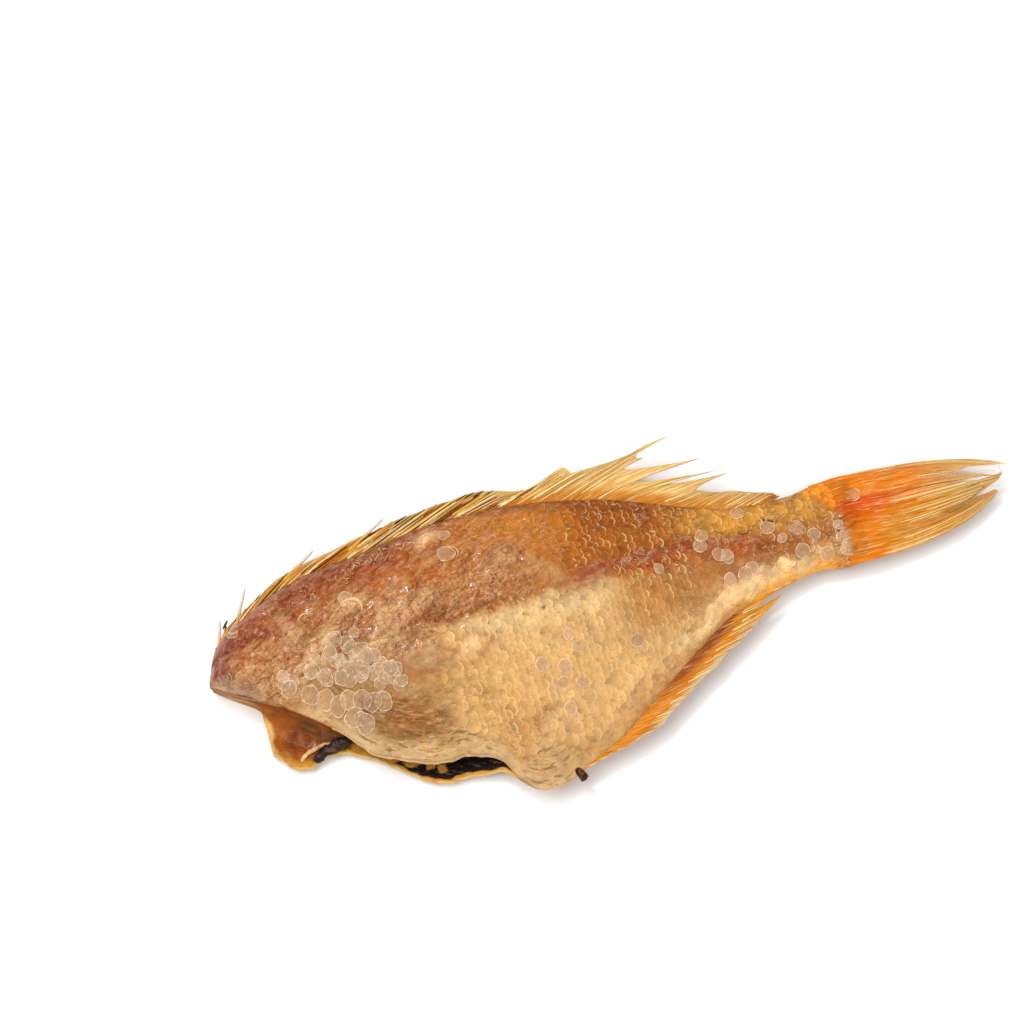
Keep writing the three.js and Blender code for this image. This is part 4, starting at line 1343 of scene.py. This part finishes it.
def fan(fin, span, rays, tone, cover, pitch, thickness, steps, hanging=False):
    """A thin web over a span of roots, corrugated along the rays and sharp all round. `rays` holds
    the fin's root, knots, bow and level. Its half thickness is a wave across the rays times a root
    of the distance from its borders. A hanging web runs down from its roots, so its grids face the
    other way."""
    *course, level = rays
    u = np.linspace(*span, steps[0] + 1)[:, None] * np.ones(steps[1] + 1)
    v = np.linspace(0, 1, steps[1] + 1)[None, :] * np.ones((steps[0] + 1, 1))
    x, y = on_ray(u, v, *course)
    wave = branching(u, v, pitch)
    border = np.clip(np.minimum(u - span[0], span[1] - u) / WEB_BORDER, 0, 1)
    border = border * np.clip(10 * v, 0, 1) * (1 - v)
    half = thickness / 2 * border ** 0.4 * mix(WEB_LEAST, 1, wave)
    height = level(x, y, u, v) + 0.2 * grain(flat(x, y), 7, 91) * np.clip(6 * v, 0, 1)
    flow = flat(np.hypot(x - x[:, :1], y - y[:, :1]) * 0.16, u * 1.6, 0)
    marks = {"tone": tone(x, y, u, v, wave), "cover": cover(x, y, u, v, wave), "flow": flow}
    fin.add(flat(x, y, height + half), inward=hanging, **marks)
    fin.add(flat(x, y, height - half), inward=not hanging, **marks)


def strands(fin, rays, u, start, end, radius, rise, tone):
    """Loose strands along a fin's rays: each runs from share `start` to share `end` of its ray and
    bends up to `rise` over the web."""
    *course, level = rays
    u, start, end, radius, rise = (np.broadcast_to(a, len(u))[:, None] for a in (u, start, end, radius, rise))
    u = u * np.ones_like(ALONG)
    v = mix(start, end, ALONG)
    x, y = on_ray(u, v, *course)
    z = level(x, y, u, v) + STRAND_LIFT + rise * np.sin(np.pi * ALONG)
    points = rods(flat(x, y, z), radius * (1 - STRAND_TAPER * ALONG))
    fin.add(points, wrap=True, tone=tone[:, None, None, :] * np.ones((1, *points.shape[1:3], 1)))


def strew_strands(fin, rays, chance, count, span, start, end, radius, rise, colours, uneven=0):
    """Strands at random: their roots over a span, and start, end and radius between two limits, as is
    the rise where it has two. Colours are drawn from a list, and made uneven by a normal spread."""
    u = np.sort(chance.uniform(*span, count))
    tone = np.array(colours)[chance.integers(0, len(colours), count)]
    if uneven:
        tone = np.clip(tone * chance.normal(1, uneven, (count, 1)), 0, 1)
    start, end, radius = (chance.uniform(*limits, count) for limits in (start, end, radius))
    rise = chance.uniform(*rise, count) if np.ndim(rise) else rise
    strands(fin, rays, u, start, end, radius, rise, tone)


def back_root(u):
    """The back fin's rays start just inside the back."""
    return u, back(u) - 1.4


# Ends of the back fin's rays: root x, end x, end y, sharp.
BACK_FIN = [
    (3, 9, 19, 0), (10, 28, 30.6, 0), (20, 42, 34, 0), (30, 56, 36.6, 0), (45, 72, 39.4, 0),
    (60, 86, 40.8, 0), (75, 98, 41.4, 0), (85, 106, 38.8, 0), (92, 113, 37.6, 0), (98, 120, 39.2, 0),
    (101, 125, 42.2, 1), (104, 127, 39.4, 0), (109, 134, 39.2, 0), (112, 140, 39.6, 0), (116, 150, 41, 0),
    (119, 161.5, 43, 1), (121.5, 148.5, 38.6, 0), (122.6, 151.3, 37.8, 1), (123.8, 143.6, 36.5, 0),
    (127.5, 169.2, 33, 1), (131.5, 147.6, 31.1, 0), (136, 173.6, 27.5, 1), (139.5, 155.6, 28.1, 0),
    (144, 176.1, 26.1, 1), (148, 163.8, 23, 0), (153, 168, 21.6, 0), (160, 174, 20.1, 0),
    (168, 181, 18.1, 0), (176, 187.2, 15.9, 0), (184, 189.2, 14.6, 0)]


def back_fin_level(x, y, u, v):
    """The back fin's sheet lies along the ridge, with shallow waves that grow outwards."""
    return ridge_height(u) + 0.5 + 0.5 * v * np.sin(u / 2.1)


def back_fin_bow(u):
    """The soft rays arch upwards a little."""
    return 1.5 * bell(u - 129, 11)


BACK_RAYS = (back_root, BACK_FIN, back_fin_bow, back_fin_level)


def make_back_fin():
    """The back fin: a folded band of strands along the ridge in front, and behind it a torn web of
    rays with long pointed lobes."""
    web = Patches()

    def tone(x, y, u, v, wave):
        """Cream rays, brown between them in front and yellow behind, and deep gold at roots and tips."""
        return paint(
            over_all(GOLD, x),
            (CREAM_RAY, 0.8 * wave * fade(v, 0.12, 0.4)),
            (RAY_BROWN, 0.55 * (1 - wave) * fade(u, 118, 84)),
            (YELLOW_TAN, 0.7 * (1 - wave) * fade(u, 104, 124) * fade(v, 0.2, 0.4)),
            (DEEP_GOLD, 0.9 * fade(y - back(x), 5, 1.5)),
            (DEEP_GOLD, 0.5 * fade(v, 0.86, 1) * fade(u, 112, 122)))

    def cover(x, y, u, v, wave):
        """Thinner between the soft rays, towards their tips."""
        return 0.97 - 0.3 * (1 - wave) * fade(u, 96, 112) * fade(v, 0.4, 0.8)

    fan(web, (3, 184), BACK_RAYS, tone, cover, pitch=2.4, thickness=0.8, steps=(900, 24))
    return web.make("back_fin", [fin_membrane()], "fin")


def lying_rods(lines, lift, radius):
    """Rods along straight lines on the ridge, each given as x, y to x, y."""
    lines = np.array(lines)
    x, y = (mix(lines[:, i, None], lines[:, i + 2, None], ALONG) for i in (0, 1))
    return rods(flat(x, y, ridge_height(x) + lift), radius, 6)


EDGE_SCRAPS = np.array([8, 38, 69, 72, 76, 79.5, 46])  # the root x of the rays that end in a dark scrap
# Free spines and dark scraps that lie along straight lines: x, y to x, y.
FREE_SPINES = [(4.7, 9.2, 8.3, 22.4), (9.6, 13, 18.4, 30.6), (52, 33, 66, 40.8), (30, 29, 42, 36.6)]
NAPE_SCRAPS = [(3.2, 8.6, 5.2, 14.6), (7.2, 15.2, 9.8, 20.4), (8.4, 19.4, 10.6, 22)]


def make_back_fin_strands():
    """Spines and slips of membrane along the back fin's rays, dark scraps on its outer edge, and
    the free spines at the nape."""
    chance = np.random.default_rng(17)
    fin = Patches()
    strew_strands(fin, BACK_RAYS, chance, 150, span=(4, 112), start=(0, 0.45), end=(0.7, 1.06),
                  radius=(0.16, 0.4), rise=(0.1, 0.7), uneven=0.06,
                  colours=[CREAM_RAY, CREAM_RAY, STRAW, STRAW, GOLD, GOLD, DEEP_GOLD, RAY_BROWN, DARK_RAY])
    strew_strands(fin, BACK_RAYS, chance, 46, span=(100, 180), start=(0, 0.3), end=(0.8, 0.99),
                  radius=(0.12, 0.24), rise=0.15, colours=[CREAM_RAY, CREAM_RAY, STRAW, GOLD])
    strands(fin, BACK_RAYS, EDGE_SCRAPS, start=0.74, end=1.01, radius=0.28, rise=0.4,
            tone=over_all(BLACK_SKIN, EDGE_SCRAPS))

    spines = lying_rods(FREE_SPINES, 0.9, 0.8 * (1 - STRAND_TAPER * ALONG))
    fin.add(spines, wrap=True, tone=paint(over_all(GOLD, spines[..., 0]),
                                          (SPINE_PALE, fade(ALONG, 0.35, 0.75)[..., None])))
    scraps = lying_rods(NAPE_SCRAPS, 0.4, 0.38 * np.sin(np.pi * ALONG) ** 0.5)
    fin.add(scraps, wrap=True, tone=over_all(BLACK_SKIN, scraps[..., 0]))
    return fin.make("back_fin_strands", [fin_ray()], "fin")


# Ends of the belly fin's rays: root x, end x, end y, sharp.
BELLY_FIN = [
    (103, 105, -53, 0), (105, 115.2, -50.5, 0), (108, 121.1, -49.5, 0), (113, 132, -46.1, 0),
    (117, 134.7, -43.8, 0), (122, 144.1, -38.1, 0), (126, 147.9, -35.6, 0), (130, 154.5, -32.6, 0),
    (134, 157, -30.2, 0), (138, 161.6, -28.2, 0), (142, 166.8, -25, 0), (146, 173.2, -20.8, 0),
    (148.4, 177.4, -18.2, 0), (149, 180, -16.5, 0), (150.4, 174.5, -18, 0), (152.4, 171.4, -19.8, 0),
    (154, 167.8, -22, 0), (156, 170.1, -19.5, 0), (160, 173.8, -16.8, 0), (165, 183, -13.6, 0),
    (170, 186, -13, 0)]


def belly_root(u):
    """The belly fin's rays start just inside the belly's edge, taken as straight between its knots."""
    return u, np.interp(u, *np.array(BELLY).T) + 1.6


def straight(u):
    """The bow of rays that don't bend."""
    return 0 * u


def belly_fin_level(x, y, u, v):
    """The belly fin's sheet leaves the belly's edge and rises a little outwards."""
    return belly_height(u) - 0.3 + 0.4 * v


BELLY_RAYS = (belly_root, BELLY_FIN, straight, belly_fin_level)


def make_belly_fin():
    """The fin behind the vent: a narrow web folded back along the belly's edge with one free tip."""
    web, rays = Patches(), Patches()

    def tone(x, y, u, v, wave):
        """Orange, brown at the rear roots, pale at the edge and golden at the free tip."""
        return paint(
            over_all(FIN_ORANGE, x),
            (FIN_ROOT_BROWN, 0.9 * fade(v, 0.5, 0.24) * fade(u, 118, 140)),
            (DEEP_GOLD, 0.5 * (1 - wave) * fade(v, 0.3, 0.6)),
            (YELLOW_TAN, 0.7 * wave * fade(u, 142, 147) * fade(v, 0.4, 0.7)),
            (PALE_WEB, 0.9 * fade(v, 0.62, 0.84) * (0.5 + 0.5 * wave) * fade(u, 147, 142)))

    def cover(x, y, u, v, wave):
        """Clear between the rays at the edge, but not at the free tip."""
        return 0.97 - 0.65 * (1 - wave) * fade(v, 0.6, 0.9) * fade(u, 147, 142)

    fan(web, (103, 170), BELLY_RAYS, tone, cover, pitch=3.0, thickness=0.9, steps=(420, 24), hanging=True)
    strew_strands(rays, BELLY_RAYS, np.random.default_rng(29), 44, span=(104, 168), start=(0.4, 0.7),
                  end=(0.86, 1.03), radius=(0.12, 0.26), rise=0.15,
                  colours=[CREAM_RAY, CREAM_RAY, STRAW, GOLD, DEEP_GOLD])
    rays.make("belly_fin_strands", [fin_ray()], "fin")
    return web.make("belly_fin", [fin_membrane()], "fin")


TAIL_ROOT = 199  # where the tail fin's rays start, inside the flesh
TAIL_TOP = 15.8  # y of the topmost ray's root; the others follow below it
TAIL_SPREAD = 28.8  # the lowest ray's root lies this far below the topmost one's
# Ends of the tail fin's rays: distance of the root under the topmost ray's, end x, end y, sharp.
TAIL_FIN = [
    (0, 264, 5.5, 0), (0.6, 261, 6.3, 0), (1.4, 258.3, 6.7, 0), (2.6, 254.7, 7.6, 0), (4, 250.6, 8, 0),
    (5.6, 244.6, 7.4, 0), (7.2, 252.2, 5.6, 0), (8.6, 258.4, 3, 0), (9.4, 254.4, 3.7, 0),
    (11.2, 241, 4.6, 0), (12, 249.8, 3, 0), (12.8, 254.7, 1.7, 0), (13.6, 257.7, 1.6, 0),
    (14.6, 260.1, 2.9, 0), (16, 258.3, 0.9, 0), (18.5, 254.2, -0.5, 0), (21, 248.6, -2.3, 0),
    (25, 256.6, -1.3, 0), (26.6, 257.2, -2.5, 0), (TAIL_SPREAD, 254.4, -4.5, 0)]


def tail_root(u):
    """The tail's rays start on a line across the body."""
    return TAIL_ROOT + 0 * u, TAIL_TOP - u


def tail_bow(u):
    """The outer rays spread before they turn back, the topmost and the lowest one most."""
    return mix(7.6, -8.2, u / TAIL_SPREAD)


def tail_level(x, y, u, v):
    """The tail's sheet comes out of the flesh's top, drops to mid height and rides up in the middle
    of its tips."""
    out = fade(x, 210, 228)
    skin = skin_height(np.minimum(x, TRUNK_LENGTH), np.clip(y, lower_lip(x) + 0.3, back(x) - 0.3), 1)
    web = mix(ridge_height(TAIL_ROOT), 5.2 + 2.4 * bell(u - 15, 6), v ** 1.5)
    web = web + 0.5 * np.sin(u * 0.9 + 3 * v) * v
    return mix(skin - 0.9 + 1.5 * fade(x, 201, 208), web, out)


TAIL_RAYS = (tail_root, TAIL_FIN, tail_bow, tail_level)
HAIR_RADIUS = 0.15
HAIR_TAPER = 0.4
# Hair-thin rays that hang free of the tips: the four control points of each curve, and its colour.
TAIL_HAIRS = [(((260.7, 6.3, 5.2), (259.6, 4.4, 5.2), (261.6, 3.8, 5), (259.9, 2.4, 5)), STRAW),
              (((256.4, 3.2, 5.3), (258, 2.2, 5.4), (259, 3, 5.2), (260.2, 4, 5)), STRAW),
              (((250, 6.2, 5.6), (254, 6.2, 5.8), (257, 5.6, 5.8), (259.4, 4, 5.6)), CREAM_RAY)]


def make_tail():
    """The tail fin: one web of branching rays with torn points and loose hair-thin rays."""
    web, rays = Patches(), Patches()

    def tone(x, y, u, v, wave):
        """Orange, red in the middle and yellow outwards and below, with cream rays in streaks."""
        streak = grain(flat(u * 1.4, v * 1.2), 1, 95)
        red = 0.7 * fade(x, 228, 216) * bell(u - 12.5, 4) + 0.6 * bell(u - 10, 1.6) * fade(x, 250, 238)
        return paint(
            over_all(TAIL_ORANGE, x),
            (YELLOW_TAN, 0.8 * fade(x, 228, 250)),
            (YELLOW_TAN, 0.85 * fade(u, 15, 20) * fade(x, 214, 224)),
            (OLIVE_YELLOW, 0.8 * fade(x, 230, 248) * bell(u - 15, 3)),
            (PALE_WEB, 0.8 * fade(x, 228, 250) * fade(u, 11, 8) * (1 - wave)),
            (TAIL_RED, red),
            (CREAM_RAY, 0.42 * wave * fade(x, 212, 232) * fade(streak, -0.4, 0.6)),
            (DEEP_GOLD, 0.65 * (1 - wave) * fade(x, 210, 226) * fade(u, 12, 17)),
            (DEEP_GOLD, 0.5 * fade(streak, 0.1, -0.7) * fade(x, 212, 226)),
            (CREAM_RAY, 0.12 * fade(x, 234, 254)))

    def cover(x, y, u, v, wave):
        """Thinner between the rays outwards, worn near the bays, and bare over the flesh."""
        worn = bell(u - 7, 1.3) * fade(x, 232, 246) + 0.6 * bell(u - 11.4, 1) * fade(x, 240, 250)
        sheet = (0.98 - 0.52 * (1 - wave) * fade(x, 228, 252)) * (1 - 0.85 * worn * (1 - 0.5 * wave))
        past_flesh = fade(x + 3 * grain(flat(x, y), 3, 96), 199, 213)
        return sheet * np.maximum(past_flesh, fade(np.abs(u - TAIL_SPREAD / 2), 11, 13))

    fan(web, (0, TAIL_SPREAD), TAIL_RAYS, tone, cover, pitch=1.8, thickness=1.3, steps=(520, 72))
    strew_strands(rays, TAIL_RAYS, np.random.default_rng(31), 34, span=(0.6, TAIL_SPREAD - 0.4),
                  start=(0.2, 0.5), end=(0.9, 1.0), radius=(0.14, 0.3), rise=0.1,
                  colours=[CREAM_RAY, STRAW, GOLD, DEEP_GOLD])
    k = np.linspace(0, 1, 24)[None, :, None]
    for line, colour in TAIL_HAIRS:
        a, b, c, d = np.array(line, float)
        path = (1 - k) ** 3 * a + 3 * k * (1 - k) ** 2 * b + 3 * k * k * (1 - k) * c + k ** 3 * d
        hair = rods(path, HAIR_RADIUS * (1 - HAIR_TAPER * k[..., 0]))
        rays.add(hair, wrap=True, tone=np.broadcast_to(colour, hair.shape))
    rays.make("tail_fin_strands", [fin_ray()], "fin")
    return web.make("tail_fin", [fin_membrane()], "fin")


STUB_ENDS = ((101, -50.6, 9.2), (103.9, -56.6, 9.6))
STUB_RADIUS = 1.15
STUB_BROWN = dye(74, 46, 30)


def make_vent_stub():
    """The dried stub of gut at the vent: a short lumpy rod."""
    root, tip = (flat(*end) for end in STUB_ENDS)
    line = mix(root, tip, ALONG[..., None])
    points = rods(line, STUB_RADIUS - 0.25 * np.sin(2 * np.pi * ALONG), 16)
    points[:, 1:-1] += 0.22 * grain(points[:, 1:-1], 0.9, 99)[..., None] * (1, 0.3, 1)
    stub = Patches()
    stub.add(points, wrap=True, tone=np.broadcast_to(STUB_BROWN, points.shape))
    return stub.make("vent_stub", [fin_ray()], "skin")


# ---- Table, light and camera.
TABLE_SIZE = 6
TABLE_WHITE = (0.94, 0.94, 0.935, 1)
VIEW_AZIMUTH, VIEW_ELEVATION = math.radians(-16), math.radians(72)
VIEW_DISTANCE = 0.7677
VIEW_TARGET = Vector((-0.02627, 0.04052, 0.008))
LENS, SENSOR_WIDTH = 85, 36
# A soft main light from the upper left, a small one that makes the glints and a weak one from the
# right: name, place, width and power in watts.
LAMPS = [("main_light", (-0.5, 0.2, 1.1), 0.9, 10.4), ("glint_light", (-0.25, 0.45, 1.1), 0.08, 2.0),
         ("fill_light", (0.6, -0.7, 1.0), 1.0, 4)]
SURROUND_STRENGTH = 0.5


def stand(name, data, place, facing):
    """Adds a camera or a lamp that faces along a direction."""
    made = bpy.data.objects.new(name, data)
    bpy.context.scene.collection.objects.link(made)
    made.location = place
    made.rotation_euler = facing.to_track_quat("-Z", "Y").to_euler()
    return made


def make_table():
    """A plain pale floor, with a matt finish."""
    bpy.ops.mesh.primitive_plane_add(size=TABLE_SIZE)
    floor = bpy.context.object
    floor.name = "table"
    material = bpy.data.materials.new("pale_table")
    material.use_nodes = True
    shader = material.node_tree.nodes["Principled BSDF"]
    shader.inputs["Base Color"].default_value = TABLE_WHITE
    shader.inputs["Roughness"].default_value = 0.8
    floor.data.materials.append(material)


def add_camera():
    """A camera that looks steeply down on the fish from the belly's side."""
    data = bpy.data.cameras.new("camera")
    data.lens, data.sensor_width = LENS, SENSOR_WIDTH
    away = Vector((math.sin(VIEW_AZIMUTH) * math.cos(VIEW_ELEVATION),
                   -math.cos(VIEW_AZIMUTH) * math.cos(VIEW_ELEVATION), math.sin(VIEW_ELEVATION)))
    bpy.context.scene.camera = stand("camera", data, VIEW_TARGET + away * VIEW_DISTANCE, -away)


def light_studio():
    """The lamps, which are square and face the fish's middle, and an even surround."""
    for name, place, width, power in LAMPS:
        data = bpy.data.lights.new(name, "AREA")
        data.size, data.energy = width, power
        stand(name, data, place, -Vector(place))
    world = bpy.data.worlds.new("studio")
    bpy.context.scene.world = world
    world.use_nodes = True
    surround = world.node_tree.nodes["Background"]
    surround.inputs["Color"].default_value = (1, 1, 1, 1)
    surround.inputs["Strength"].default_value = SURROUND_STRENGTH
    bpy.context.scene.view_settings.view_transform = "Standard"


for step in (add_camera, light_studio, make_table, make_trunk, make_lining_roll, make_flank_scales,
             make_loose_scales, make_shreds, make_back_fin, make_back_fin_strands, make_belly_fin, make_tail,
             make_vent_stub):
    step()
